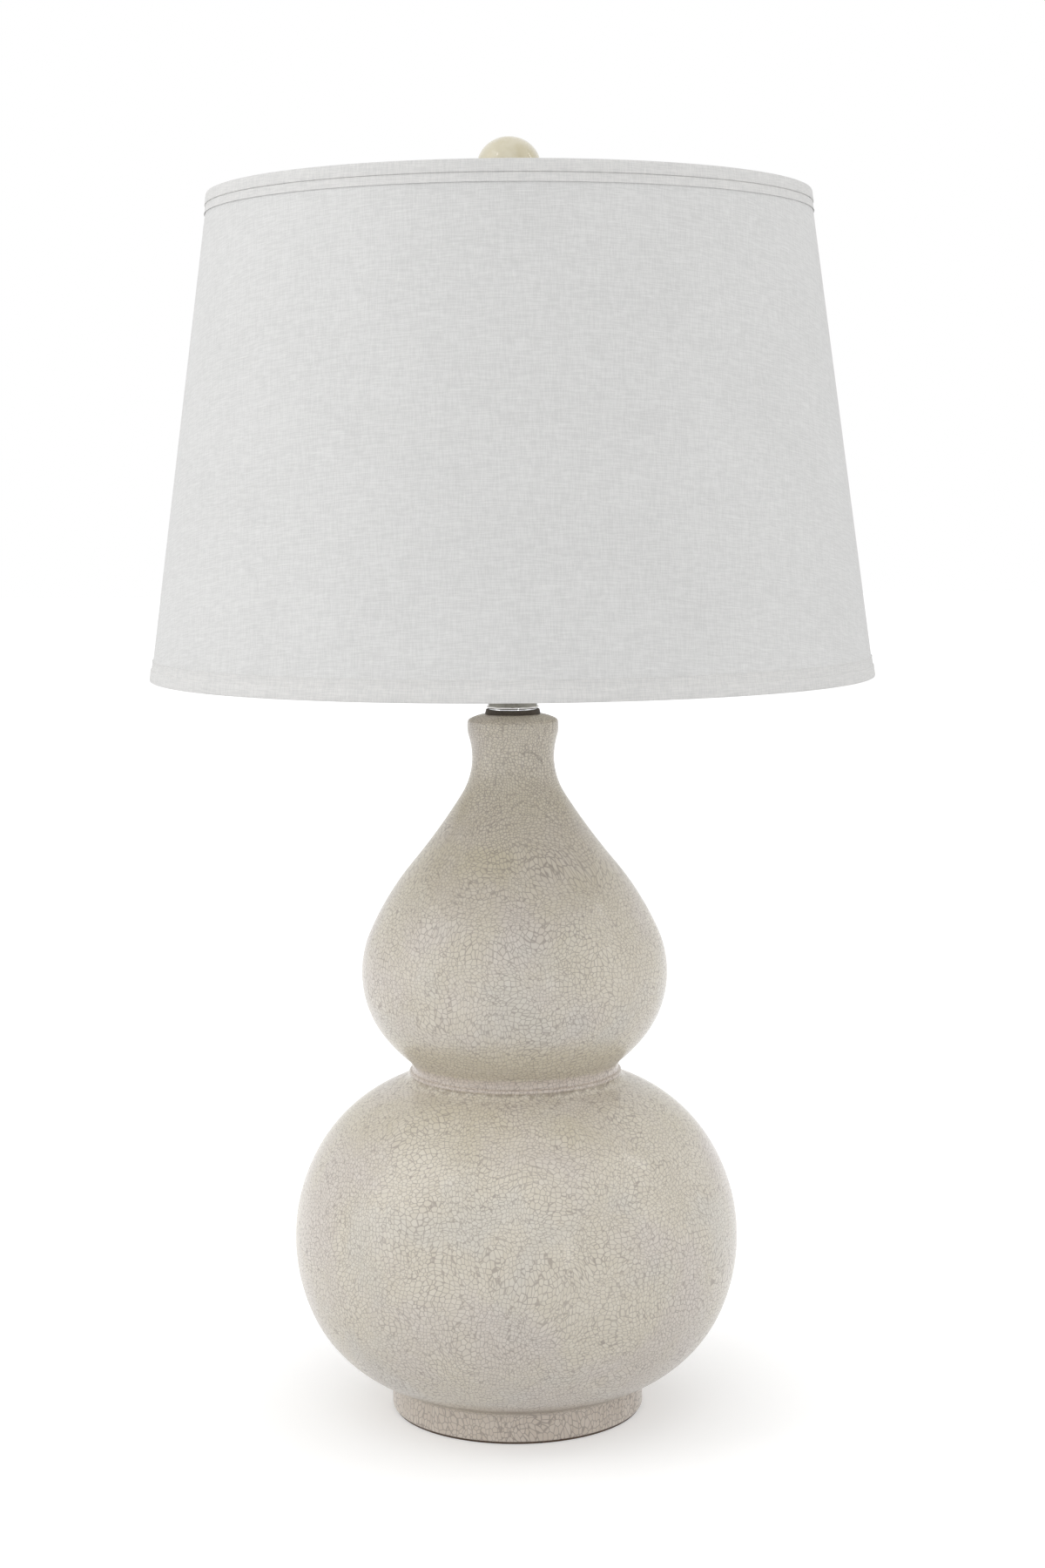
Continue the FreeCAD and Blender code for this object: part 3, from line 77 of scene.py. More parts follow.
# Materials -----------------------------------------------------------------------


class Value:
    """What one node gives: a number, a colour or a vector, with arithmetic on numbers."""

    def __init__(self, nodes: "Nodes", socket: bpy.types.NodeSocket) -> None:
        """Keeps the socket that the value comes from."""
        self.nodes = nodes
        self.socket = socket

    def maths(self, operation: str, *others: "Operand") -> "Value":
        """A Math node's result, from this value and the operands that follow it."""
        return self.nodes.node("Math", {"operation": operation}, dict(enumerate((self, *others))))

    def __add__(self, other: "Operand") -> "Value":
        """This value plus another."""
        return self.maths("ADD", other)

    __radd__ = __add__

    def __sub__(self, other: "Operand") -> "Value":
        """This value less another."""
        return self.maths("SUBTRACT", other)

    def __rsub__(self, other: "Operand") -> "Value":
        """Another number less this value."""
        return self.nodes.node("Math", {"operation": "SUBTRACT"}, {0: other, 1: self})

    def __mul__(self, other: "Operand") -> "Value":
        """This value times another."""
        return self.maths("MULTIPLY", other)

    def __abs__(self) -> "Value":
        """This value without its sign."""
        return self.maths("ABSOLUTE")


Operand = Union[Value, float]
Fed = Union[Value, float, Sequence[float]]


class Nodes:
    """The nodes of one material, or of the world."""

    def __init__(self, tree: bpy.types.NodeTree) -> None:
        """Starts with an empty tree."""
        self.tree = tree
        tree.nodes.clear()

    def node(
        self,
        kind: str,
        settings: Optional[Mapping[str, object]] = None,
        sockets: Optional[Mapping[Union[int, str], Fed]] = None,
        out: Union[int, str] = 0,
    ) -> Value:
        """Adds one node.

        Args:
            kind: The node's type, without its ShaderNode prefix.
            settings: What is set on the node itself, before its sockets.
            sockets: A value or a link for each input that is named or numbered.
            out: The output that is wanted.

        Returns:
            That output.
        """
        made = self.tree.nodes.new(f"ShaderNode{kind}")
        for name, setting in (settings or {}).items():
            setattr(made, name, setting)
        for name, fed in (sockets or {}).items():
            if isinstance(fed, Value):
                self.tree.links.new(fed.socket, made.inputs[name])
            else:
                made.inputs[name].default_value = fed
        return Value(self, made.outputs[out])

    def show(self, kind: str, shader: Value) -> None:
        """Sends a shader to the tree's output, which is a "Material" or a "World" one."""
        made = self.tree.nodes.new(f"ShaderNodeOutput{kind}")
        self.tree.links.new(shader.socket, made.inputs["Surface"])


@dataclass(frozen=True)
class Patches:
    """Soft patches of noise.

    Attributes:
        width: How wide they are, in the place's units.
        layers: How many finer layers the noise has.
        low: The noise at which a patch starts.
        high: The noise at which it is full.
        share: What it reaches there.
        rough: How strong the finer layers are.
        stretch: How many times longer it is drawn across and along.
    """

    width: float
    layers: float
    low: float
    high: float
    share: float = 1.0
    rough: float = 0.5
    stretch: Optional[Point] = None


@dataclass(frozen=True)
class Band:
    """A level band: its middle, how far off it is full and gone, in mm, and what it reaches."""

    middle: float
    full: float
    gone: float
    share: float = 1.0


class Surface(Nodes):
    """One material's nodes, and the patterns that the finishes share."""

    def __init__(self, name: str) -> None:
        """Starts an empty material of that name.

        Args:
            name: The material's name.
        """
        self.material = bpy.data.materials.new(name)
        self.material.use_nodes = True
        super().__init__(self.material.node_tree)

    def place(self, source: str = "Object") -> Value:
        """The point on the piece, in millimetres; "UV" gives the point on its own flat cloth."""
        point = self.node("TexCoord", out=source)
        return self.node("VectorMath", {"operation": "SCALE"}, {0: point, "Scale": 1 / MM})

    def stretched(self, place: Value, across: float, along: float, up: float = 1.0) -> Value:
        """The same place with each of its directions made so many times longer."""
        by = (across, along, up)
        return self.node("VectorMath", {"operation": "DIVIDE"}, {0: place, 1: by})

    def part(self, place: Value, axis: str) -> Value:
        """One coordinate of a place: "X", "Y" or "Z"."""
        return self.node("SeparateXYZ", sockets={0: place}, out=axis)

    def noise(
        self, place: Value, size: float, detail: float = 2.0, rough: float = 0.5, out: str = "Fac"
    ) -> Value:
        """Soft noise from 0 to 1: how wide, with how many finer layers, and how strong."""
        sockets = {"Vector": place, "Scale": 1 / size, "Detail": detail, "Roughness": rough}
        return self.node("TexNoise", sockets=sockets, out=out)

    def cells(self, place: Value, size: float, feature: str, out: str, loose: float) -> Value:
        """One output of a Voronoi texture, whose cells leave a plain grid as far as loose says."""
        sockets = {"Vector": place, "Scale": 1 / size, "Randomness": loose}
        return self.node("TexVoronoi", {"feature": feature}, sockets, out)

    def wander(self, place: Value, size: float, by: float) -> Value:
        """The place, moved about by soft noise of that size.

        Args:
            place: The point that is moved.
            size: The width of the noise's features, in the place's units.
            by: How far it moves the point.

        Returns:
            The moved place.
        """
        drift = self.noise(place, size, 1.0, out="Color")
        moved = {0: drift, 1: (by, by, by), 2: place}
        return self.node("VectorMath", {"operation": "MULTIPLY_ADD"}, moved)

    def fade(self, value: Value, low: float, high: float, share: float = 1.0) -> Value:
        """0 below the low value and the share above the high one, smooth between them."""
        sockets = {"Value": value, "From Min": low, "From Max": high, "To Max": share}
        return self.node("MapRange", {"interpolation_type": "SMOOTHSTEP"}, sockets)

    def patches(self, place: Value, kind: Patches) -> Value:
        """Soft patches, from 0 to their share.

        Args:
            place: The point that they are read at.
            kind: What they are like.

        Returns:
            The patches.
        """
        if kind.stretch:
            place = self.stretched(place, *kind.stretch)
        noise = self.noise(place, kind.width, kind.layers, kind.rough)
        return self.fade(noise, kind.low, kind.high, kind.share)

    def band(self, height: Value, kind: Band) -> Value:
        """A level band, from its share to 0."""
        return (1 - self.fade(abs(height - kind.middle), kind.full, kind.gone)) * kind.share

    def resized(self, place: Value, level: float, by: tuple[Value, Value, Value]) -> Value:
        """The place drawn so many times larger about the axis at a level.

        Args:
            place: The point, in mm.
            level: The height that keeps its place, in mm.
            by: How many times larger it is drawn each way.

        Returns:
            The place.
        """
        still = (0.0, 0.0, level)
        about = self.node("VectorMath", {"operation": "SUBTRACT"}, {0: place, 1: still})
        sizes = self.node("CombineXYZ", sockets=dict(enumerate(by)))
        drawn = self.node("VectorMath", {"operation": "DIVIDE"}, {0: about, 1: sizes})
        return self.node("VectorMath", {"operation": "ADD"}, {0: drawn, 1: still})

    def tint(self, share: Operand, first: Fed, second: Fed, mode: str = "MIX") -> Value:
        """The second colour laid on the first, in its share and its mode."""
        settings = {"data_type": "RGBA", "blend_type": mode, "clamp_factor": True}
        return self.node("Mix", settings, {0: share, 6: first, 7: second}, 2)

    def bump(self, height: Value, depth: float) -> Value:
        """A normal for a surface whose height runs from 0 to 1 over that depth in millimetres."""
        return self.node("Bump", sockets={"Height": height, "Distance": depth * MM})

    def finish(self, **sockets: Fed) -> bpy.types.Material:
        """Adds the shader with its sockets, named with underscores, and gives the material.

        Args:
            sockets: The Principled shader's inputs, named with underscores.

        Returns:
            The finished material.
        """
        named = {name.replace("_", " "): fed for name, fed in sockets.items()}
        self.show("Material", self.node("BsdfPrincipled", sockets=named))
        return self.material


@dataclass(frozen=True)
class CrackleGlaze:
    """Clear gloss over a cream-grey crackled glaze, as fired on the gourd. Sizes in mm."""

    # The net of hairlines and its chips.
    cell: float = 2.4
    loose: float = 0.62
    line_heart: float = 0.02
    line: float = 0.26
    line_share: float = 0.54
    line_wear: Patches = Patches(22.0, 2.0, 0.3, 0.7, 0.12)
    bends: tuple[Point, ...] = ((48.0, 18.0), (24.0, 13.0))
    foot_chips: Point = (15.0, 21.0)
    foot_level: float = 18.0
    foot_wider: float = 0.1
    foot_taller: float = 0.55
    neck_chips: Point = (300.0, 340.0)
    neck_level: float = 340.0
    neck_smaller: float = 0.3
    chip_tone: float = 0.1
    chip_rise: float = 0.02
    dimple: float = 9.0
    dimple_rise: float = 0.06
    lump: float = 3.6
    lumps: Band = Band(193.6, 1.0, 2.6)
    relief: float = 0.5

    # The colours.
    cream: Colour = srgb(219, 212, 198)
    lilac: Colour = srgb(214, 206, 202)
    mist: Colour = srgb(213, 210, 203)
    olive: Colour = srgb(211, 203, 183)
    rose: Colour = srgb(223, 212, 200)
    crack: Colour = srgb(144, 132, 126)
    dark_crack: Colour = srgb(104, 92, 86)
    stain: Colour = srgb(132, 116, 92)
    ridge: Colour = srgb(212, 200, 194)

    # The ground: clouds, and shares given as the least one and the patchy one above it.
    cloud: Point = (60.0, 30.0)
    lilac_clouds: Patches = Patches(60.0, 3.0, 0.42, 0.64, 0.6)
    mist_clouds: Patches = Patches(38.0, 3.0, 0.5, 0.7, 0.5)
    olive_clouds: Patches = Patches(52.0, 4.0, 0.40, 0.62)
    olive_rise: Point = (270.0, 335.0)
    olive_fall: Point = (352.0, 372.0)
    olive_neck: Point = (0.35, 0.6)
    olive_waist: Point = (0.2, 0.5)
    olive_elsewhere: float = 0.14
    over_waist: Band = Band(206.0, 5.0, 22.0, 0.75)
    under_waist: Band = Band(178.0, 4.0, 26.0)
    foot_top: Point = (14.0, 21.0)
    foot_share: float = 0.85
    blotch: float = 12.0
    crease: Band = Band(20.6, 0.8, 5.2)
    crease_stain: Point = (0.25, 0.6)
    ridge_ripple: float = 6.0
    ridge_sway: float = 3.0
    ridge_band: Band = Band(196.2, 2.6, 4.6, 0.6)
    ridge_pool: Band = Band(191.6, 0.3, 1.5)
    pools: Patches = Patches(3.2, 3.0, 0.38, 0.58, 0.5)

    # The long firing cracks.
    firing_bend: Point = (34.0, 24.0)
    firing_cell: float = 46.0
    firing_line: Point = (0.05, 0.34)
    firing_runs: Patches = Patches(26.0, 2.0, 0.46, 0.58)
    firing_rise: Point = (318.0, 350.0)
    firing_neck: float = 0.28
    firing_elsewhere: float = 0.06

    def material(self) -> bpy.types.Material:
        """Builds the glaze.

        Returns:
            The material.
        """
        s = Surface("crackle_glaze")
        place = s.place()
        height = s.part(place, "Z")
        ground = self._ground(s, place, height)
        lines, chip = self._crackle(s, place, height)
        tone = s.node("CombineColor", sockets={0: chip, 1: chip, 2: chip})
        ground = s.tint(self.chip_tone, ground, tone, "SOFT_LIGHT")
        dark = self.line_share + s.patches(place, self.line_wear)
        colour = s.tint(lines * dark, ground, self.crack)
        colour = s.tint(self._firing_cracks(s, place, height), colour, self.dark_crack)
        lumps = s.band(height, self.lumps) * s.noise(place, self.lump, 1.0)
        dimples = s.noise(place, self.dimple, 2.0) * self.dimple_rise
        skin = dimples + (1 - lines) * self.chip_rise + lumps
        return s.finish(
            Base_Color=colour,
            Roughness=0.4 + lines * 0.2,
            Specular_IOR_Level=0.15,
            Coat_Weight=0.6,
            Coat_Roughness=0.16,
            Coat_IOR=1.45,
            Normal=s.bump(skin, self.relief),
        )

    def _crackle(self, s: Surface, place: Value, height: Value) -> tuple[Value, Value]:
        """The net of hairlines, in small chips: taller on the foot and smaller on the neck.

        Args:
            s: The surface.
            place: The point, in mm.
            height: Its height, in mm.

        Returns:
            1 in a hairline and 0 between them, and each chip's own tone.
        """
        foot = 1 - s.fade(height, *self.foot_chips)
        wide = foot * self.foot_wider + 1
        small = 1 - s.fade(height, *self.neck_chips) * self.neck_smaller
        bent = place
        for width, by in self.bends:
            bent = s.wander(bent, width, by)
        bent = s.resized(bent, self.foot_level, (wide, wide, foot * self.foot_taller + 1))
        bent = s.resized(bent, self.neck_level, (small, small, small))
        edge = s.cells(bent, self.cell, "DISTANCE_TO_EDGE", "Distance", self.loose)
        chip = s.part(s.cells(bent, self.cell, "F1", "Color", self.loose), "X")
        return 1 - s.fade(edge * self.cell * small, self.line_heart, self.line), chip

    def _ground(self, s: Surface, place: Value, height: Value) -> Value:
        """The glaze's colour under its crackle: clouds, and where it ran thin or pooled.

        Args:
            s: The surface.
            place: The point, in mm.
            height: Its height, in mm.

        Returns:
            The colour.
        """
        cloud = s.wander(place, *self.cloud)
        ground = s.tint(s.patches(cloud, self.lilac_clouds), self.cream, self.lilac)
        ground = s.tint(s.patches(cloud, self.mist_clouds), ground, self.mist)
        patch = s.patches(cloud, self.olive_clouds)
        high = s.fade(height, *self.olive_rise) * (1 - s.fade(height, *self.olive_fall))
        least, patchy = self.olive_neck
        olive = high * (least + patch * patchy) + s.band(height, self.over_waist)
        least, patchy = self.olive_waist
        olive = olive + s.band(height, self.under_waist) * (least + patch * patchy)
        ground = s.tint(olive + patch * self.olive_elsewhere, ground, self.olive)
        foot = 1 - s.fade(height, *self.foot_top)
        ground = s.tint(foot * self.foot_share, ground, self.rose)
        least, patchy = self.crease_stain
        stained = least + s.noise(place, self.blotch, 3.0) * patchy
        ground = s.tint(s.band(height, self.crease) * stained, ground, self.stain)
        sway = s.noise(place, self.ridge_ripple, 3.0) * self.ridge_sway - self.ridge_sway / 2
        uneven = height + sway
        ground = s.tint(s.band(uneven, self.ridge_band), ground, self.ridge)
        pooled = s.band(uneven, self.ridge_pool) * s.patches(place, self.pools)
        return s.tint(pooled, ground, self.stain)

    def _firing_cracks(self, s: Surface, place: Value, height: Value) -> Value:
        """The few long firing cracks that run through the net, mostly round the neck.

        Args:
            s: The surface.
            place: The point, in mm.
            height: Its height, in mm.

        Returns:
            How dark they are, and 0 off them.
        """
        bent = s.wander(place, *self.firing_bend)
        edge = s.cells(bent, self.firing_cell, "DISTANCE_TO_EDGE", "Distance", 1.0)
        crack = 1 - s.fade(edge * self.firing_cell, *self.firing_line)
        share = s.fade(height, *self.firing_rise) * self.firing_neck + self.firing_elsewhere
        return crack * s.patches(place, self.firing_runs) * share


@dataclass(frozen=True)
class CreamGlaze:
    """Clear gloss over a plain cream glaze, on the finial's ball."""

    cream: Colour = srgb(222, 215, 192)
    shade: Colour = srgb(212, 203, 174)
    speck: Colour = srgb(150, 130, 90)
    shades: Patches = Patches(9.0, 3.0, 0.35, 0.7)
    speck_spacing: float = 2.4
    speck_size: Point = (0.03, 0.09)
    speck_share: float = 0.25
    ripple: float = 6.0
    relief: float = 0.03

    def material(self) -> bpy.types.Material:
        """Builds the glaze.

        Returns:
            The material.
        """
        s = Surface("cream_glaze")
        place = s.place()
        soft = s.patches(place, self.shades)
        dots = s.cells(place, self.speck_spacing, "F1", "Distance", 1.0)
        speck = 1 - s.fade(dots, *self.speck_size)
        colour = s.tint(soft, self.cream, self.shade)
        colour = s.tint(speck * self.speck_share, colour, self.speck)
        return s.finish(
            Base_Color=colour,
            Roughness=0.36 + soft * 0.08,
            Specular_IOR_Level=0.2,
            Coat_Weight=0.9,
            Coat_Roughness=0.03,
            Normal=s.bump(s.noise(place, self.ripple, 2.0), self.relief),
        )


@dataclass(frozen=True)
class Linen:
    """Plain woven white linen with slubs, read on the cloth's own flat pattern. Sizes in mm."""

    name: str = "linen"
    thread: float = 0.62
    light: Colour = srgb(236, 236, 235)
    dark: Colour = srgb(214, 214, 213)
    bend: Point = (14.0, 0.9)
    weave: float = 0.25
    wefts: Patches = Patches(1.0, 1.0, 0.34, 0.66, 0.35, stretch=(7.0, 0.5))
    warps: Patches = Patches(1.0, 1.0, 0.34, 0.66, 0.3, stretch=(0.5, 6.0))
    weft_slubs: Patches = Patches(1.0, 2.0, 0.62, 0.76, stretch=(16.0, 0.9))
    warp_slubs: Patches = Patches(1.0, 2.0, 0.66, 0.8, stretch=(0.9, 12.0))
    cloud: float = 60.0
    darkest: float = 1.1
    slub_tone: float = 0.5
    cloud_tone: float = 0.35
    slub_relief: float = 0.3
    yarn_relief: float = 0.7
    relief: float = 0.12

    def material(self) -> bpy.types.Material:
        """Builds the cloth.

        Returns:
            The material.
        """
        s = Surface(self.name)
        cloth = s.place("UV")
        loose = s.wander(cloth, *self.bend)
        turns = 2 * math.pi / self.thread
        warp = (s.part(loose, "X") * turns).maths("SINE")
        weft = (s.part(loose, "Y") * turns).maths("SINE")
        weave = (warp * weft * 0.5 + 0.5) * self.weave
        yarn = weave + s.patches(loose, self.wefts) + s.patches(loose, self.warps)
        slub = s.patches(cloth, self.weft_slubs) + s.patches(cloth, self.warp_slubs)
        cloudy = s.noise(cloth, self.cloud, 3.0) * self.cloud_tone
        dark = self.darkest - yarn - slub * self.slub_tone - cloudy
        relief = yarn * self.yarn_relief + slub * self.slub_relief
        return s.finish(
            Base_Color=s.tint(dark, self.light, self.dark),
            Roughness=0.92,
            Sheen_Weight=0.15,
            Sheen_Roughness=0.5,
            Specular_IOR_Level=0.2,
            Normal=s.bump(relief, self.relief),
        )


@dataclass(frozen=True)
class Plated:
    """Metal with a plated or drawn face: its colour, its polish, and the marks of its making."""

    name: str
    colour: Colour
    dulled_and_painted_reflection: Colour
    rough: float
    mark: float
    grain: Point = (1.0, 1.0)
    smears: Patches = Patches(7.0, 4.0, 0.4, 0.7, rough=0.6)
    dull_share: float = 0.6
    grain_relief: float = 0.05

    def material(self) -> bpy.types.Material:
        """Builds the metal.

        Returns:
            The material.
        """
        s = Surface(self.name)
        place = s.place()
        smear = s.patches(place, self.smears)
        across, along = self.grain
        lines = s.noise(s.stretched(place, across, across, along), 1.0, 3.0)
        return s.finish(
            Base_Color=s.tint(self._dull_and_painted_reflection(s, place, smear), self.colour, self.dulled_and_painted_reflection),
            Metallic=1.0,
            Roughness=self.rough + smear * self.mark + lines * self.mark,
            Normal=s.bump(lines, self.mark * self.grain_relief),
        )

    def _dull_and_painted_reflection(self, s: Surface, place: Value, smear: Value) -> Value:
        """How dull the face is, 0 to 1: its smears, and on the neck cap a painted reflection as
        well.
        """
        return smear * self.dull_share


@dataclass(frozen=True)
class PlatedCap(Plated):
    """The neck cap's chrome, with a painted reflection: its wall is painted darker, and the rolled
    rim is left bright.
    """

    rim_top: float = 400.2
    rim_blend: float = 0.3
    wall_painted_reflection: float = 0.75

    def _dull_and_painted_reflection(self, s: Surface, place: Value, smear: Value) -> Value:
        """A painted dark reflection on the wall, mixed with its smears, and the rim below it left
        bright.
        """
        # Painted reflection: the wall above the rim takes the darker colour; the rim below stays
        # bright.
        wall = s.fade(s.part(place, "Z"), self.rim_top - self.rim_blend, self.rim_top)
        return wall * (self.wall_painted_reflection + smear * (1 - self.wall_painted_reflection))


@dataclass(frozen=True)
class Moulded:
    """Moulded plastic, rubber or pressed board: one mass colour, its flecks and its skin."""

    name: str
    colour: Colour
    fleck: Colour
    rough: float
    skin: float
    size: float
    mottle_share: float = 0.6
    flow_share: float = 0.3
    flow_wider: float = 8.0

    def material(self) -> bpy.types.Material:
        """Builds the moulding.

        Returns:
            The material.
        """
        s = Surface(self.name)
        place = s.place()
        mottle = s.patches(place, Patches(self.size, 4.0, 0.45, 0.7, rough=0.6))
        flow = s.noise(place, self.size * self.flow_wider, 2.0)
        fleck = mottle * self.mottle_share + flow * self.flow_share
        return s.finish(
            Base_Color=s.tint(fleck, self.colour, self.fleck),
            Roughness=self.rough + mottle * 0.12,
            Normal=s.bump(mottle, self.skin),
        )


@dataclass(frozen=True)
class Felt:
    """Pressed wool felt: matted fibres in two browns."""

    light: Colour = srgb(112, 92, 76)
    dark: Colour = srgb(66, 52, 42)
    fibre: float = 0.45
    mat: Point = (1.6, 1.4)
    clump: float = 5.0
    clump_share: float = 0.3
    tones: Point = (0.35, 0.65)
    relief: float = 0.25

    def material(self) -> bpy.types.Material:
        """Builds the felt.

        Returns:
            The material.
        """
        s = Surface("felt")
        place = s.place()
        fibre = s.noise(s.wander(place, *self.mat), self.fibre, 4.0, 0.7)
        clump = s.noise(place, self.clump, 3.0)
        mixed = fibre * (1 - self.clump_share) + clump * self.clump_share
        shade = s.fade(mixed, *self.tones)
        return s.finish(
            Base_Color=s.tint(shade, self.dark, self.light),
            Roughness=1.0,
            Sheen_Weight=0.3,
            Normal=s.bump(fibre, self.relief),
        )


@dataclass(frozen=True)
class SoftWhiteBulb:
    """Glass with a soft white coat inside."""

    white: Colour = srgb(246, 245, 241)
    thin: Colour = srgb(236, 235, 230)
    coat: float = 14.0
    coat_tones: Point = (0.4, 0.7)
    ripple: float = 20.0
    relief: float = 0.02

    def material(self) -> bpy.types.Material:
        """Builds the glass.

        Returns:
            The material.
        """
        s = Surface("soft_white_glass")
        place = s.place()
        coat = s.noise(place, self.coat, 3.0)
        return s.finish(
            Base_Color=s.tint(s.fade(coat, *self.coat_tones), self.white, self.thin),
            Roughness=0.5 + coat * 0.1,
            Specular_IOR_Level=0.1,
            Coat_Weight=1.0,
            Coat_Roughness=0.05,
            Normal=s.bump(s.noise(place, self.ripple, 1.0), self.relief),
        )


class Finish(Enum):
    """The lamp's finishes: the record's slot that each dresses, and how it is made."""

    CRACKLE = ("crackle_glaze", CrackleGlaze())
    BALL = ("finial_glaze", CreamGlaze())
    LINEN = ("shade_linen", Linen())
    TRIM = ("shade_trim", Linen(name="linen_trim", light=srgb(238, 237, 235)))
    LINING = (
        "shade_lining",
        Moulded("styrene_lining", srgb(240, 238, 232), srgb(228, 225, 216), 0.45, 0.02, 3.0),
    )
    POWDER = (
        "white_wire",
        Moulded("white_powder", srgb(236, 236, 232), srgb(222, 222, 216), 0.38, 0.03, 0.9),
    )
    FELT = ("felt", Felt())
    # The neck cap's chrome: the bright colour stays on its rim, and the dark one is a painted
    # reflection on its wall, mixed with smears.
    CHROME = ("chrome", PlatedCap("chrome", srgb(234, 235, 236), srgb(158, 158, 156), 0.05, 0.03))
    ZINC = (
        "zinc_steel",
        Plated("bright_zinc", srgb(205, 207, 209), srgb(168, 172, 176), 0.25, 0.14, (0.4, 3.0)),
    )
    NICKEL = (
        "nickel_steel",
        Plated("satin_nickel", srgb(216, 213, 207), srgb(184, 180, 172), 0.22, 0.10, (0.3, 6.0)),
    )
    SOCKET = (
        "socket_metal",
        Plated("socket_nickel", srgb(222, 219, 213), srgb(190, 186, 178), 0.10, 0.06, (0.5, 5.0)),
    )
    THREAD = (
        "thread_brass",
        Plated("drawn_brass", srgb(222, 190, 118), srgb(170, 132, 66), 0.20, 0.12, (3.0, 0.4)),
    )
    SCREW = (
        "screw_brass",
        Plated("turned_brass", srgb(218, 184, 110), srgb(160, 124, 60), 0.24, 0.12, (0.4, 2.0)),
    )
    CONTACT = (
        "contact_brass",
        Plated("strip_brass", srgb(222, 190, 122), srgb(164, 130, 72), 0.26, 0.12, (4.0, 0.5)),
    )
    FIBRE = (
        "fibre_liner",
        Moulded("pressed_fibre", srgb(92, 84, 76), srgb(58, 52, 46), 0.8, 0.08, 0.8),
    )
    CORE = (
        "moulded_core",
        Moulded("phenolic", srgb(58, 50, 44), srgb(34, 29, 26), 0.28, 0.02, 0.9),
    )
    SWITCH = (
        "switch_plastic",
        Moulded("switch_black", srgb(36, 36, 37), srgb(22, 22, 23), 0.26, 0.015, 0.7),
    )
    GASKET = (
        "gasket_rubber",
        Moulded("gasket_rubber", srgb(76, 68, 58), srgb(50, 43, 36), 0.6, 0.05, 0.8),
    )
    BUSHING = (
        "bushing_plastic",
        Moulded("ivory_plastic", srgb(226, 221, 205), srgb(205, 198, 180), 0.32, 0.02, 1.4),
    )
    BULB = ("bulb_glass", SoftWhiteBulb())
    BULB_CAP = (
        "bulb_cap_metal",
        Plated(
            "rolled_aluminium", srgb(222, 222, 221), srgb(186, 187, 188), 0.24, 0.12, (4.0, 0.5)
        ),
    )
    VITRITE = (
        "bulb_black_glass",
        Moulded("vitrite", srgb(44, 44, 48), srgb(24, 24, 27), 0.12, 0.03, 2.0),
    )
    SOLDER = ("solder", Plated("solder", srgb(176, 176, 176), srgb(128, 128, 130), 0.34, 0.2))

    @cache
    def dressed(self) -> bpy.types.Material:
        """This finish's material, built when it is first asked for."""
        return self.value[1].material()


# Meshes --------------------------------------------------------------------------

SHARP_PIECE = math.radians(38)
SHARP_SOLID = math.radians(32)
MERGED_MM = 1e-4
WELDED_M = 1e-6


class Lathe:
    """A section drawn as a chain of lines and tangent bends, then turned about the axis.

    The section lies in the plane of X and Z, and its points are radius and height in mm.
    """

    def __init__(self, radius: float, height: float) -> None:
        """Puts down the section's first point.

        Args:
            radius: Its distance from the axis.
            height: Its height.
        """
        self.mesh = bmesh.new()
        self.first = self.mesh.verts.new((radius, 0.0, height))
        self.tip = self.first
        self.heading = 0.0

    def line_to(self, radius: float, height: float) -> "Lathe":
        """Draws a straight run to a point.

        Args:
            radius: The point's distance from the axis.
            height: The point's height.

        Returns:
            The lathe.
        """
        run = Vector((radius, 0.0, height)) - self.tip.co
        grown = bmesh.ops.extrude_vert_indiv(self.mesh, verts=[self.tip])
        bmesh.ops.translate(self.mesh, verts=grown["verts"], vec=run)
        self.tip = grown["verts"][0]
        self.heading = math.atan2(run.z, run.x)
        return self

    def lines_to(self, *points: Point) -> "Lathe":
        """Draws a straight run to each point in turn.

        Args:
            points: The points.

        Returns:
            The lathe.
        """
        for point in points:
            self.line_to(*point)
        return self

    def bend_to(self, radius: float, height: float, stride: float = 2.0) -> "Lathe":
        """Draws an arc to a point, tangent to the run before it.

        Args:
            radius: The point's distance from the axis.
            height: The point's height.
            stride: The longest piece of the arc.

        Returns:
            The lathe.
        """
        chord = Vector((radius, 0.0, height)) - self.tip.co
        half = math.remainder(math.atan2(chord.z, chord.x) - self.heading, 2 * math.pi)
        reach = chord.length / (2 * math.sin(half))
        left = Vector((-math.sin(self.heading), 0.0, math.cos(self.heading)))
        spun = bmesh.ops.spin(
            self.mesh,
            geom=[self.tip],
            cent=self.tip.co + left * reach,
            axis=(0.0, -1.0, 0.0),
            angle=2 * half,
            steps=max(2, math.ceil(2 * half * reach / stride)),
        )
        self.tip = next(g for g in spun["geom_last"] if isinstance(g, bmesh.types.BMVert))
        self.heading += 2 * half
        return self

    def bends_to(self, *bends: Bend) -> "Lathe":
        """Draws an arc to each place in turn, each with its own longest piece where it has one.

        Args:
            bends: Where each arc ends, and its longest piece where that isn't usual.

        Returns:
            The lathe.
        """
        for bend in bends:
            self.bend_to(*bend)
        return self

    def head(self, degrees: float) -> "Lathe":
        """Turns the way that the next bend sets off, where a corner comes before it."""
        self.heading = math.radians(degrees)
        return self

    def close(self) -> "Lathe":
        """Joins the last point to the first."""
        self.mesh.edges.new((self.tip, self.first))
        return self

    def turn(self, segments: int) -> bmesh.types.BMesh:
        """Turns the section a full circle about the lamp's axis.

        Args:
            segments: How many steps the circle has.

        Returns:
            The closed mesh, its faces outwards, in millimetres.
        """
        bmesh.ops.spin(
            self.mesh,
            geom=self.mesh.verts[:] + self.mesh.edges[:],
            cent=(0.0, 0.0, 0.0),
            axis=(0.0, 0.0, 1.0),
            angle=2 * math.pi,
            steps=segments,
            use_merge=True,
        )
        bmesh.ops.remove_doubles(self.mesh, verts=self.mesh.verts, dist=MERGED_MM)
        bmesh.ops.recalc_face_normals(self.mesh, faces=self.mesh.faces)
        return self.mesh


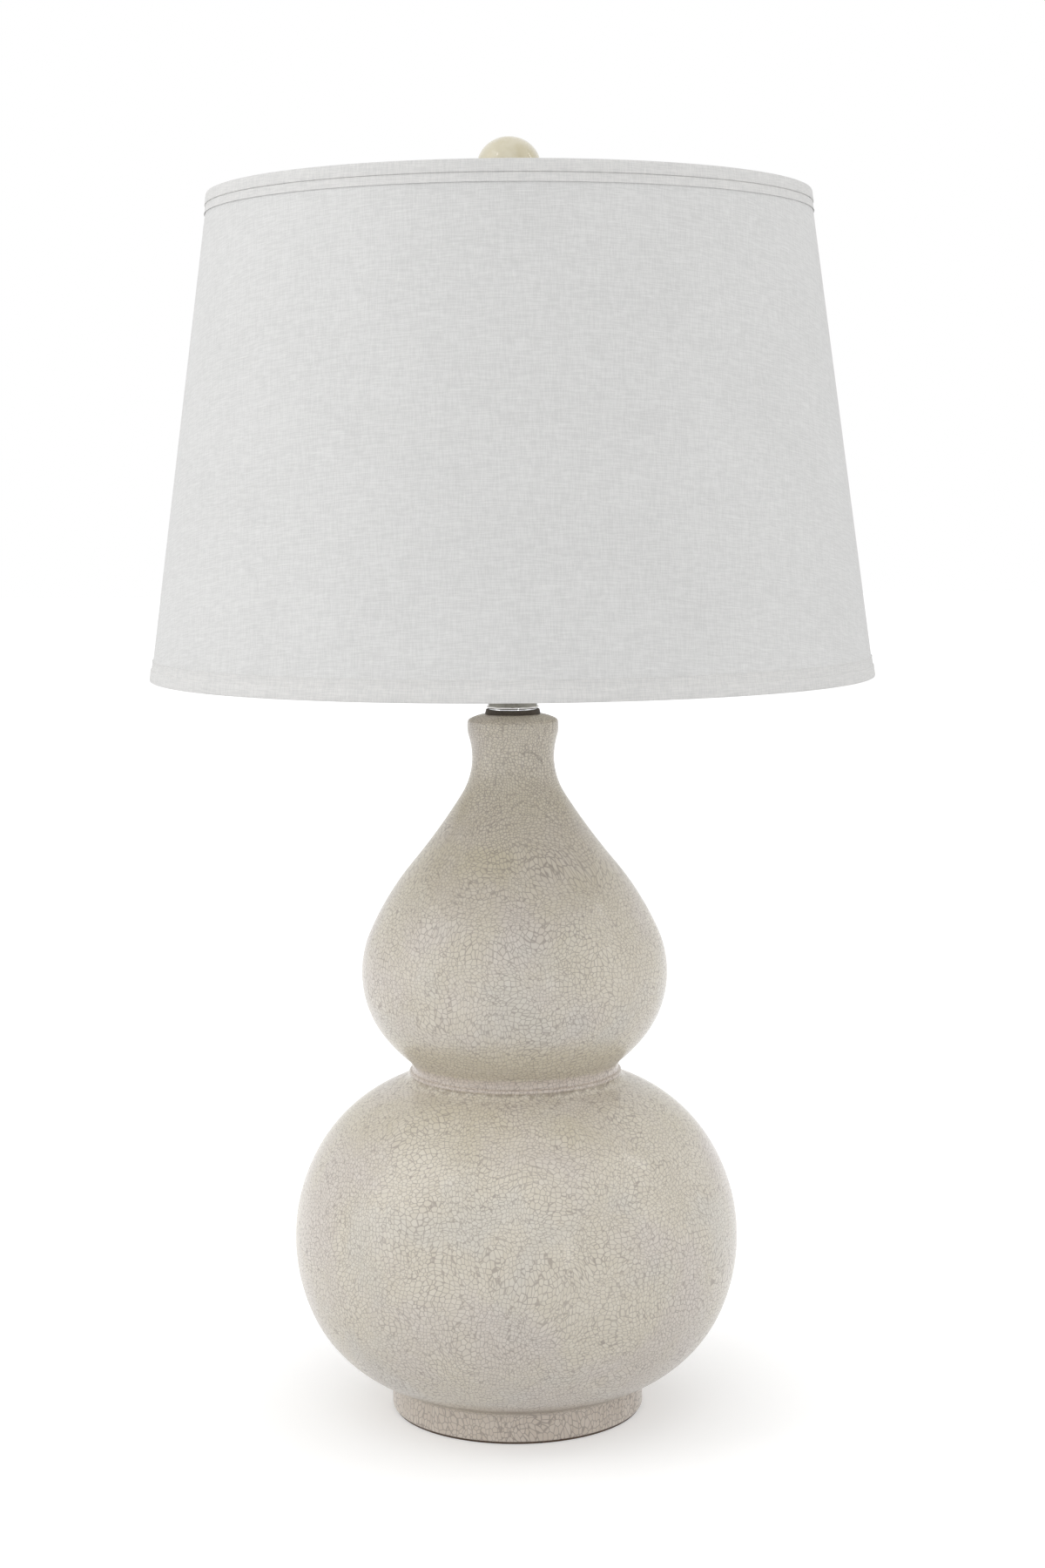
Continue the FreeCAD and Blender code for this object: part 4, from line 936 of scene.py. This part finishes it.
def in_scene(name: str, mesh: bmesh.types.BMesh) -> bpy.types.Object:
    """Turns a mesh in millimetres, which is used up, into an object in metres.

    Args:
        name: The object's name.
        mesh: Its mesh.

    Returns:
        The object, linked to the scene.
    """
    bmesh.ops.scale(mesh, vec=(MM, MM, MM), verts=mesh.verts)
    data = bpy.data.meshes.new(name)
    mesh.to_mesh(data)
    mesh.free()
    made = bpy.data.objects.new(name, data)
    bpy.context.scene.collection.objects.link(made)
    return made


def piece(
    name: str, mesh: bmesh.types.BMesh, body: str, finish: Finish, *nodes: str
) -> bpy.types.Object:
    """Makes one piece of the lamp from a mesh in millimetres.

    Args:
        name: The piece's name.
        mesh: Its mesh, which is used up.
        body: The moving body that it rides on.
        finish: What it is dressed in.
        nodes: The solids that it stands for.

    Returns:
        The piece, at the origin with its place in its mesh.
    """
    made = in_scene(name, mesh)
    made.data.shade_smooth()
    made.data.set_sharp_from_angle(angle=SHARP_PIECE)
    made.data.materials.append(finish.dressed())
    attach(made, body)
    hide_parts(*nodes)
    log.info("%s: %d faces, rides on %s", name, len(made.data.polygons), body)
    return made


def dress(name: str, finish: Finish) -> None:
    """Gives a solid that is shown as it is its finish and a smooth shading.

    Args:
        name: The solid's name.
        finish: What it is dressed in.
    """
    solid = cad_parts[name]
    solid.data.materials.clear()
    solid.data.materials.append(finish.dressed())
    solid.data.shade_smooth()
    solid.modifiers.new("weld", "WELD").merge_threshold = WELDED_M
    solid.modifiers.new("edges", "EDGE_SPLIT").split_angle = SHARP_SOLID
    log.info("%s: dressed in %s", name, finish.value[0])


def cut_away(target: bpy.types.Object, cutter: bmesh.types.BMesh) -> None:
    """Cuts one closed mesh, in millimetres, out of a piece.

    Args:
        target: The piece, whose mesh is replaced by the cut one.
        cutter: What is cut away, which is used up.
    """
    tool = in_scene("cutter", cutter)
    cut = target.modifiers.new("cut", "BOOLEAN")
    cut.operation = "DIFFERENCE"
    cut.solver = "EXACT"
    cut.object = tool
    bpy.context.view_layer.update()
    whole = target.evaluated_get(bpy.context.evaluated_depsgraph_get())
    made = bpy.data.meshes.new_from_object(whole)
    target.modifiers.remove(cut)
    target.data = made
    bpy.data.objects.remove(tool)


# Sub-assemblies ------------------------------------------------------------------


@dataclass
class Gourd:
    """The glazed body: foot, belly, waist with its luted ridge, upper bulb, neck and mouth.

    Each bend is the radius and height where it ends, and a fine one has its longest piece too.
    """

    foot_bottom: float = 1.2
    foot_radius: float = 71.4
    foot_inner_radius: float = 60.0
    edge_round: float = 1.4
    edge_stride: float = 0.5
    recess: float = 16.0
    floor_top: float = 23.0
    floor_hole: float = 5.25
    crease_start: Point = (71.4, 16.222)
    crease_end: Bend = (72.895, 18.306, 0.6)
    belly_heading: float = 19.92
    belly_low: Bend = (117.278, 60.221)
    belly_high: Bend = (111.309, 150.095)
    waist_root: Bend = (63.614, 188.401)
    waist_heading: float = 161.66
    ridge_foot: Bend = (59.49, 191.573, 0.5)
    ridge_low: Bend = (59.609, 192.592, 0.2)
    ridge_high: Bend = (58.908, 194.74, 0.3)
    ridge_head: Bend = (58.211, 195.492, 0.2)
    waist_high: Bend = (61.088, 202.006, 0.8)
    bulb_low: Bend = (74.12, 215.497)
    bulb_high: Bend = (81.067, 273.332)
    shoulder: Bend = (56.967, 312.232)
    slope: Bend = (29.038, 350.481)
    lip_low: Bend = (24.59, 383.0)
    lip_high: Bend = (25.35, 391.0, 0.9)
    lip_brow: Bend = (23.9, 393.1, 0.4)
    seat: Bend = (15.9, 395.6, 0.9)
    mouth: float = 12.0
    wall: float = 6.0
    floor_corner: Point = (69.3, 23.0)
    outlet_height: float = 8.6
    outlet_radius: float = 5.5
    outlet_sides: int = 48
    outlet_over: float = 10.0
    segments: int = 208

    def build(self) -> None:
        """Turns the body and cuts the cord's outlet through the back of its foot."""
        section = Lathe(self.floor_hole, self.recess)
        section.line_to(self.foot_inner_radius, self.recess)
        section.line_to(self.foot_inner_radius, self.foot_bottom)
        section.line_to(self.foot_radius - self.edge_round, self.foot_bottom)
        edge = self.foot_bottom + self.edge_round
        section.bend_to(self.foot_radius, edge, self.edge_stride)
        self._outside(section)
        self._inside(section)
        mesh = section.close().turn(self.segments)
        made = piece("gourd", mesh, "base", Finish.CRACKLE, "gourd_body")
        cut_away(made, self._outlet())

    def _belly(self) -> tuple[Bend, ...]:
        """The bends below the waist, upwards."""
        return self.belly_low, self.belly_high, self.waist_root

    def _bulb(self) -> tuple[Bend, ...]:
        """The bends above the ridge, up to the lip."""
        upper = (self.waist_high, self.bulb_low, self.bulb_high)
        return (*upper, self.shoulder, self.slope, self.lip_low)

    def _outside(self, section: Lathe) -> None:
        """Draws the glazed outline, up from the foot to the seat of the gasket.

        Args:
            section: The section, drawn as far as the foot's edge.
        """
        section.line_to(*self.crease_start).bend_to(*self.crease_end)
        section.head(self.belly_heading).bends_to(*self._belly())
        section.head(self.waist_heading)
        section.bends_to(self.ridge_foot, self.ridge_low, self.ridge_high, self.ridge_head)
        section.bends_to(*self._bulb(), self.lip_high, self.lip_brow, self.seat)

    def _inside(self, section: Lathe) -> None:
        """Draws the unglazed inside, a wall's thickness in, down from the mouth to the floor.

        Args:
            section: The section, drawn as far as the seat.
        """
        section.line_to(self.mouth, self.seat[1]).line_to(self.mouth, self.seat[1] - self.wall)
        outline = Lathe(*self.crease_start).head(90.0).bend_to(*self.crease_end)
        outline.head(self.belly_heading)
        joints = []
        for bend in (*self._belly(), *self._bulb()):
            outline.bend_to(*bend)
            if bend == self.waist_root:
                outline.head(self.waist_heading)
            inwards = Vector((-math.sin(outline.heading), 0.0, math.cos(outline.heading)))
            joints.append((outline.tip.co + inwards * self.wall, outline.heading + math.pi))
        outline.mesh.free()
        place, heading = joints.pop()
        section.line_to(place.x, place.z).head(math.degrees(heading))
        for place, _ in reversed(joints):
            section.bend_to(place.x, place.z, self.wall)
        section.bend_to(*self.floor_corner, self.wall).line_to(self.floor_hole, self.floor_top)

    def _outlet(self) -> bmesh.types.BMesh:
        """The round hole for the cord's bushing, through the foot towards +Y.

        Returns:
            The drill that cuts it, in mm.
        """
        drill = bmesh.new()
        bmesh.ops.create_cone(
            drill,
            cap_ends=True,
            segments=self.outlet_sides,
            radius1=self.outlet_radius,
            radius2=self.outlet_radius,
            depth=self.foot_radius - self.foot_inner_radius + self.outlet_over,
            matrix=Matrix.Rotation(math.radians(90), 4, "X"),
        )
        middle = (self.foot_radius + self.foot_inner_radius) / 2
        bmesh.ops.translate(drill, verts=drill.verts, vec=(0.0, middle, self.outlet_height))
        return drill


@dataclass
class FootFelt:
    """The ring of pressed felt glued under the foot."""

    inner: float = 60.0
    outer: float = 70.1
    thickness: float = 1.2
    edge: float = 0.35
    edge_stride: float = 0.15
    segments: int = 160

    def build(self) -> None:
        section = Lathe(self.inner, self.edge)
        section.head(-90.0).bend_to(self.inner + self.edge, 0.0, self.edge_stride)
        section.line_to(self.outer - self.edge, 0.0)
        section.bend_to(self.outer, self.edge, self.edge_stride)
        section.line_to(self.outer, self.thickness).line_to(self.inner, self.thickness)
        mesh = section.close().turn(self.segments)
        ring = piece("felt_ring", mesh, "base", Finish.FELT, "foot_felt")


@dataclass
class NeckCap:
    """The plated cap on the neck, with a rolled rim that stands on the gasket.

    The rim's bends are radius, rise from the cap's bottom, and longest piece.
    """

    bottom: float = 398.2
    top: float = 408.0
    foot_radius: float = 13.6
    rim: tuple[Bend, ...] = ((14.6, 1.15, 0.12), (14.0, 1.8, 0.12))
    rim_low: float = 0.45
    rim_high: float = 1.95
    wall_radius: float = 13.9
    corner: float = 3.2
    corner_stride: float = 0.4
    sheet: float = 1.0
    hole: float = 5.1
    segments: int = 128

    def build(self) -> None:
        """Turns the cap, hollow as it is pressed."""
        inner = self.wall_radius - self.sheet
        round_radius = self.wall_radius - self.corner
        under = self.top - self.sheet
        section = Lathe(inner, self.bottom).line_to(self.foot_radius, self.bottom)
        section.line_to(self.foot_radius, self.bottom + self.rim_low).head(0.0)
        for radius, rise, stride in self.rim:
            section.bend_to(radius, self.bottom + rise, stride)
        section.line_to(self.wall_radius, self.bottom + self.rim_high)
        section.line_to(self.wall_radius, self.top - self.corner)
        section.bend_to(round_radius, self.top, self.corner_stride)
        section.lines_to((self.hole, self.top), (self.hole, under), (round_radius, under))
        section.bend_to(inner, self.top - self.corner, self.corner_stride)
        mesh = section.close().turn(self.segments)
        piece("chrome_cap", mesh, "base", Finish.CHROME, "vase_cap")


@dataclass
class Shade:
    """The tapered shade: linen cover with a lap seam at the back, and folded trims."""

    top: float = 679.35
    bottom: float = 416.95
    top_radius: float = 164.6
    bottom_radius: float = 200.4
    trim: float = 0.9
    cover: float = 0.8
    liner: float = 0.9
    ring_wire: float = 2.0
    slack: float = 0.05
    band: float = 11.2
    tuck: float = 0.8
    hem: float = 0.5
    hem_inset: float = 0.3
    edge_gap: float = 0.3
    edge_round: float = 0.28
    edge_inset: float = 0.25
    lip_round: float = 0.65
    fold: float = 6.4
    fold_step: float = 0.5
    fold_depth: float = 0.8
    fold_edge: float = 0.35
    fold_inset: float = 0.1
    groove_width: float = 0.4
    lap_width: float = 14.0
    lap_rise: float = 0.55
    segments: int = 288

    @property
    def lean(self) -> float:
        """How far the wall leans in from upright, in radians."""
        return math.atan2(self.bottom_radius - self.top_radius, self.top - self.bottom)

    def wall(self, inset: float, level: float) -> float:
        """The wall's radius at a level, some way in from its outer face."""
        return self.top_radius + (self.top - level) * math.tan(self.lean) - inset

    def build(self) -> None:
        cover = self._cover()
        trims = [
            self._trim("top_trim", self.top, -1.0, self.edge_gap, self.fold_depth),
            self._trim("bottom_trim", self.bottom, 1.0, 0.0, self.fold_step),
        ]
        slant = (self.top - self.bottom - 2 * self.trim) / math.cos(self.lean)
        middle = math.pi * (self.wall(self.trim, self.bottom) + self.wall(self.trim, self.top))
        area = (middle + self.lap_width) * slant * MM * MM

    def _cover(self) -> bpy.types.Object:
        """The linen sleeve, with the raised lap of its seam at the back.

        Returns:
            The cover.
        """
        low = self.bottom + self.trim
        high = self.top - self.trim
        inner = self.trim + self.cover
        section = Lathe(self.wall(inner, low), low)
        for level in (low, low + self.band, high - self.band, high):
            section.line_to(self.wall(self.trim, level), level)
        section.line_to(self.wall(inner, high), high)
        mesh = section.close().turn(self.segments)
        self._raise_lap(mesh)
        self._lay(mesh, self._on_sector)
        return piece("linen_cover", mesh, "shade", Finish.LINEN, "shade_cover")

    def _raise_lap(self, mesh: bmesh.types.BMesh) -> None:
        """Raises the strip where the cloth's end is lapped over its start.

        Args:
            mesh: The sleeve, in mm.
        """
        half = self.lap_width / 2 / self.top_radius
        lap = []
        for face in mesh.faces:
            middle = face.calc_center_median()
            at_back = face.normal.y > 0.5 and abs(math.atan2(middle.x, middle.y)) < half
            if at_back and self.bottom + self.band < middle.z < self.top - self.band:
                lap.append(face)
        raised = bmesh.ops.extrude_face_region(mesh, geom=lap)
        verts = [v for v in raised["geom"] if isinstance(v, bmesh.types.BMVert)]
        bmesh.ops.delete(mesh, geom=lap, context="FACES_ONLY")
        out = 1 + self.lap_rise / self.bottom_radius
        bmesh.ops.scale(mesh, vec=(out, out, 1.0), verts=verts)

    def _trim(
        self, name: str, edge: float, inwards: float, gap: float, groove: float
    ) -> bpy.types.Object:
        """One folded trim: a band outside, its fold, over the rim, and a lip behind the ring.

        Args:
            name: The solid that it stands for.
            edge: The level of the shade's rim.
            inwards: 1 where the shade is above that rim, -1 where it is below.
            gap: How far the band's edge stands off the cover.
            groove: How deep the fold's groove is.

        Returns:
            The trim.
        """
        step = self.fold_step
        outside = [
            (self.trim, self.band - self.tuck),
            (self.trim - gap, self.band),
            (self.hem_inset, self.band),
            (step, self.band - self.hem),
            (step, self.fold + self.groove_width),
            (groove, self.fold + self.fold_edge),
            (groove, self.fold),
            (self.fold_inset, self.fold),
            (0.0, self.fold - self.fold_edge),
            (0.0, self.trim),
            (self.edge_inset, self.edge_round),
            (self.trim, 0.0),
        ]
        if groove == step:
            outside.remove((groove, self.fold + self.fold_edge))
        ring = edge + inwards * (self.trim + self.slack + self.ring_wire)
        behind = self.wall(self.trim + self.cover + self.liner, ring) - 2 * self.ring_wire
        lip = behind - 2 * self.slack
        inside = [
            (lip, 0.0),
            (lip - self.lip_round, self.edge_round),
            (lip - self.trim, self.trim),
            (lip - self.trim, self.trim + self.ring_wire),
            (lip, self.trim + self.ring_wire),
            (lip, self.trim),
        ]
        levels = [(inset, edge + inwards * rise) for inset, rise in outside]
        first, *rest = [(self.wall(inset, level), level) for inset, level in levels]
        section = Lathe(*first).lines_to(*rest)
        section.lines_to(*((radius, edge + inwards * rise) for radius, rise in inside))
        under = edge + inwards * self.trim
        section.line_to(self.wall(self.trim, under), under)
        mesh = section.close().turn(self.segments)
        self._lay(mesh, self._on_strip)
        return piece(f"linen_{name}", mesh, "shade", Finish.TRIM, name)

    def _lay(
        self, mesh: bmesh.types.BMesh, spot: Callable[[float, float, float], Point]
    ) -> None:
        """Gives each corner its place on its own flat cloth, whose ends meet at the back.

        Args:
            mesh: The mesh, in mm.
            spot: Gives that place, in mm, from the turn in radians, the radius and the height.
        """
        cloth = mesh.loops.layers.uv.new("cloth")
        for face in mesh.faces:
            side = face.calc_center_median().x
            for loop in face.loops:
                x, y, z = loop.vert.co
                turn = math.atan2(x, -y)
                if turn * side < 0 and abs(turn) > math.pi / 2:
                    turn += math.copysign(2 * math.pi, side)
                across, along = spot(turn, math.hypot(x, y), z)
                loop[cloth].uv = (across * MM, along * MM)

    def _on_sector(self, turn: float, radius: float, height: float) -> Point:
        """The place on the cover's cloth, cut as the ring's sector that it is.

        Args:
            turn: How far round the shade the point is, from the front, in radians.
            radius: Its distance from the axis, in mm.
            height: Its height, in mm, which the sector doesn't need.

        Returns:
            The place, in mm.
        """
        swept = turn * math.sin(self.lean)
        reach = radius / math.sin(self.lean)
        return reach * math.sin(swept), -reach * math.cos(swept)

    def _on_strip(self, turn: float, radius: float, height: float) -> Point:
        """The place along and across a trim's straight strip."""
        return turn * self.top_radius, height - radius


@dataclass
class Hardware:
    """The fittings that are shown as the solids are, under the finish of each."""

    def build(self) -> None:
        """Dresses every solid that no piece stands for."""
        fittings = {
            Finish.BUSHING: ("cord_bushing",),
            Finish.ZINC: ("base_washer", "lock_washer", "base_nut", "lamp_pipe", "cap_set_screw"),
            Finish.GASKET: ("neck_gasket",),
            Finish.NICKEL: (
                "harp_saddle",
                "harp_loop",
                "ferrule_left",
                "ferrule_right",
                "harp_stud",
                "finial_base",
            ),
            Finish.SOCKET: ("socket_cap", "socket_shell"),
            Finish.FIBRE: ("socket_liner",),
            Finish.CORE: ("socket_body",),
            Finish.THREAD: ("screw_shell",),
            Finish.CONTACT: ("centre_contact",),
            Finish.SCREW: ("terminal_screws", "switch_stem"),
            Finish.SWITCH: ("switch_knob",),
            Finish.SOLDER: ("bulb_contact",),
            Finish.VITRITE: ("bulb_insulator",),
            Finish.BULB_CAP: ("bulb_cap",),
            Finish.BULB: ("bulb_glass",),
            Finish.POWDER: (
                "spider_hub",
                "spider_arm_1",
                "spider_arm_2",
                "spider_arm_3",
                "top_ring",
                "bottom_ring",
            ),
            Finish.LINING: ("shade_liner",),
            Finish.BALL: ("finial_knob",),
        }
        for finish, names in fittings.items():
            for name in names:
                dress(name, finish)


# Studio --------------------------------------------------------------------------

PANEL = (1.3, 3.0)
STRIP = (0.1, 0.5)


@dataclass(frozen=True)
class Softbox:
    """A soft lamp: its place, its width and height, both in metres, and its power in watts."""

    name: str
    place: Place
    size: Point
    watts: float

    def build(self, aim: Place) -> None:
        """Puts the lamp up, so that it faces the aim.

        Args:
            aim: The point, in metres.
        """
        data = bpy.data.lights.new(f"{self.name}_softbox", "AREA")
        data.shape = "RECTANGLE"
        data.size, data.size_y = self.size
        data.energy = self.watts
        lamp = bpy.data.objects.new(f"{self.name}_softbox", data)
        lamp.location = self.place
        lamp.rotation_mode = "QUATERNION"
        lamp.rotation_quaternion = (Vector(aim) - Vector(self.place)).to_track_quat("-Z", "Y")
        bpy.context.scene.collection.objects.link(lamp)


@dataclass
class Studio:
    """A pale floor, soft light from both sides and the front, and the photograph's camera."""

    camera_place: Place = (0.00515, -1.4765, 0.518)
    pitch: float = 83.74
    roll: float = -0.0068
    lens: float = 60.98
    sensor: float = 36.0
    sky: float = 0.7
    floor: Colour = srgb(232, 232, 232)
    floor_reach: float = 12000.0
    # The floor's glow: an even white far out, and lower near the lamp as a painted shadow round
    # the foot.
    floor_glow_and_painted_shadow: Point = (0.34, 0.58)
    painted_shadow_reach: Point = (70.0, 320.0)
    aim: Place = (0.0, 0.0, 0.3)
    lamps: tuple[Softbox, ...] = (
        Softbox("left", (-2.1, -0.5, 1.2), PANEL, 15.0),
        Softbox("right", (2.1, -0.5, 1.2), PANEL, 6.5),
        Softbox("front", (0.0, -2.6, 2.4), PANEL, 8.0),
        Softbox("left_strip", (-1.17, -0.98, 1.95), STRIP, 1.0),
        Softbox("right_strip", (1.73, 0.15, 1.67), STRIP, 1.0),
        Softbox("front_strip", (0.87, -1.79, 0.42), STRIP, 1.0),
    )

    def build(self) -> None:
        """Sets up the camera, the world, the lamps and the floor."""
        self._camera()
        self._world()
        for lamp in self.lamps:
            lamp.build(self.aim)
        self._floor()
        bpy.context.scene.view_settings.view_transform = "Standard"

    def _camera(self) -> None:
        """The camera at the photograph's viewing angle."""
        data = bpy.data.cameras.new("camera")
        data.lens = self.lens
        data.sensor_width = self.sensor
        camera = bpy.data.objects.new("camera", data)
        tilt = Matrix.Rotation(math.radians(self.pitch), 4, "X")
        spun = Matrix.Rotation(self.roll, 4, "Z")
        camera.matrix_world = Matrix.Translation(self.camera_place) @ tilt @ spun
        bpy.context.scene.collection.objects.link(camera)
        bpy.context.scene.camera = camera

    def _world(self) -> None:
        """A white surround for the camera, for gloss and for glass, and a plain light level."""
        world = bpy.data.worlds.new("studio")
        world.use_nodes = True
        bpy.context.scene.world = world
        nodes = Nodes(world.node_tree)
        strength = seen_directly(nodes) * (1.0 - self.sky) + self.sky
        white = {"Color": (1.0, 1.0, 1.0, 1.0), "Strength": strength}
        nodes.show("World", nodes.node("Background", sockets=white))

    def _floor(self) -> None:
        """A white floor that keeps the object's soft shadow, with a painted shadow where its glow
        is dimmer near the lamp, clear from below.
        """
        mesh = bmesh.new()
        bmesh.ops.create_grid(mesh, x_segments=2, y_segments=2, size=self.floor_reach)
        floor = in_scene("floor", mesh)
        white = Surface("floor_white")
        paint = white.node("BsdfDiffuse", sockets={"Color": self.floor})
        away = white.node("VectorMath", {"operation": "LENGTH"}, {0: white.place()}, "Value")
        # Painted shadow: the glow is lower near the lamp and rises over the reach to the even far
        # value.
        painted_shadow_glow, far = ((lift, lift, lift, 1.0) for lift in self.floor_glow_and_painted_shadow)
        colour = white.tint(white.fade(away, *self.painted_shadow_reach), painted_shadow_glow, far)
        glow = white.node("Emission", sockets={"Color": colour, "Strength": seen_directly(white)})
        top = white.node("AddShader", sockets={0: paint, 1: glow})
        below = white.node("NewGeometry", out="Backfacing")
        clear = white.node("BsdfTransparent")
        white.show("Material", white.node("MixShader", sockets={0: below, 1: top, 2: clear}))
        floor.data.materials.append(white.material)


def seen_directly(nodes: Nodes) -> Value:
    """1 for what the camera, a gloss or a glass sees, and 0 for what only lights the object.

    Args:
        nodes: The tree that asks.

    Returns:
        The value.
    """
    camera = nodes.node("LightPath", out="Is Camera Ray")
    gloss = nodes.node("LightPath", out="Is Glossy Ray")
    glass = nodes.node("LightPath", out="Is Transmission Ray")
    return camera.maths("MAXIMUM", gloss).maths("MAXIMUM", glass)


def main() -> None:
    """Builds the lamp's looks and the studio round it."""
    logging.basicConfig(level=logging.INFO, format="%(name)s: %(message)s", stream=sys.stdout)
    Studio().build()
    for part in (Gourd(), FootFelt(), NeckCap(), Shade(), Hardware()):
        part.build()


if __name__ == "__main__":
    main()
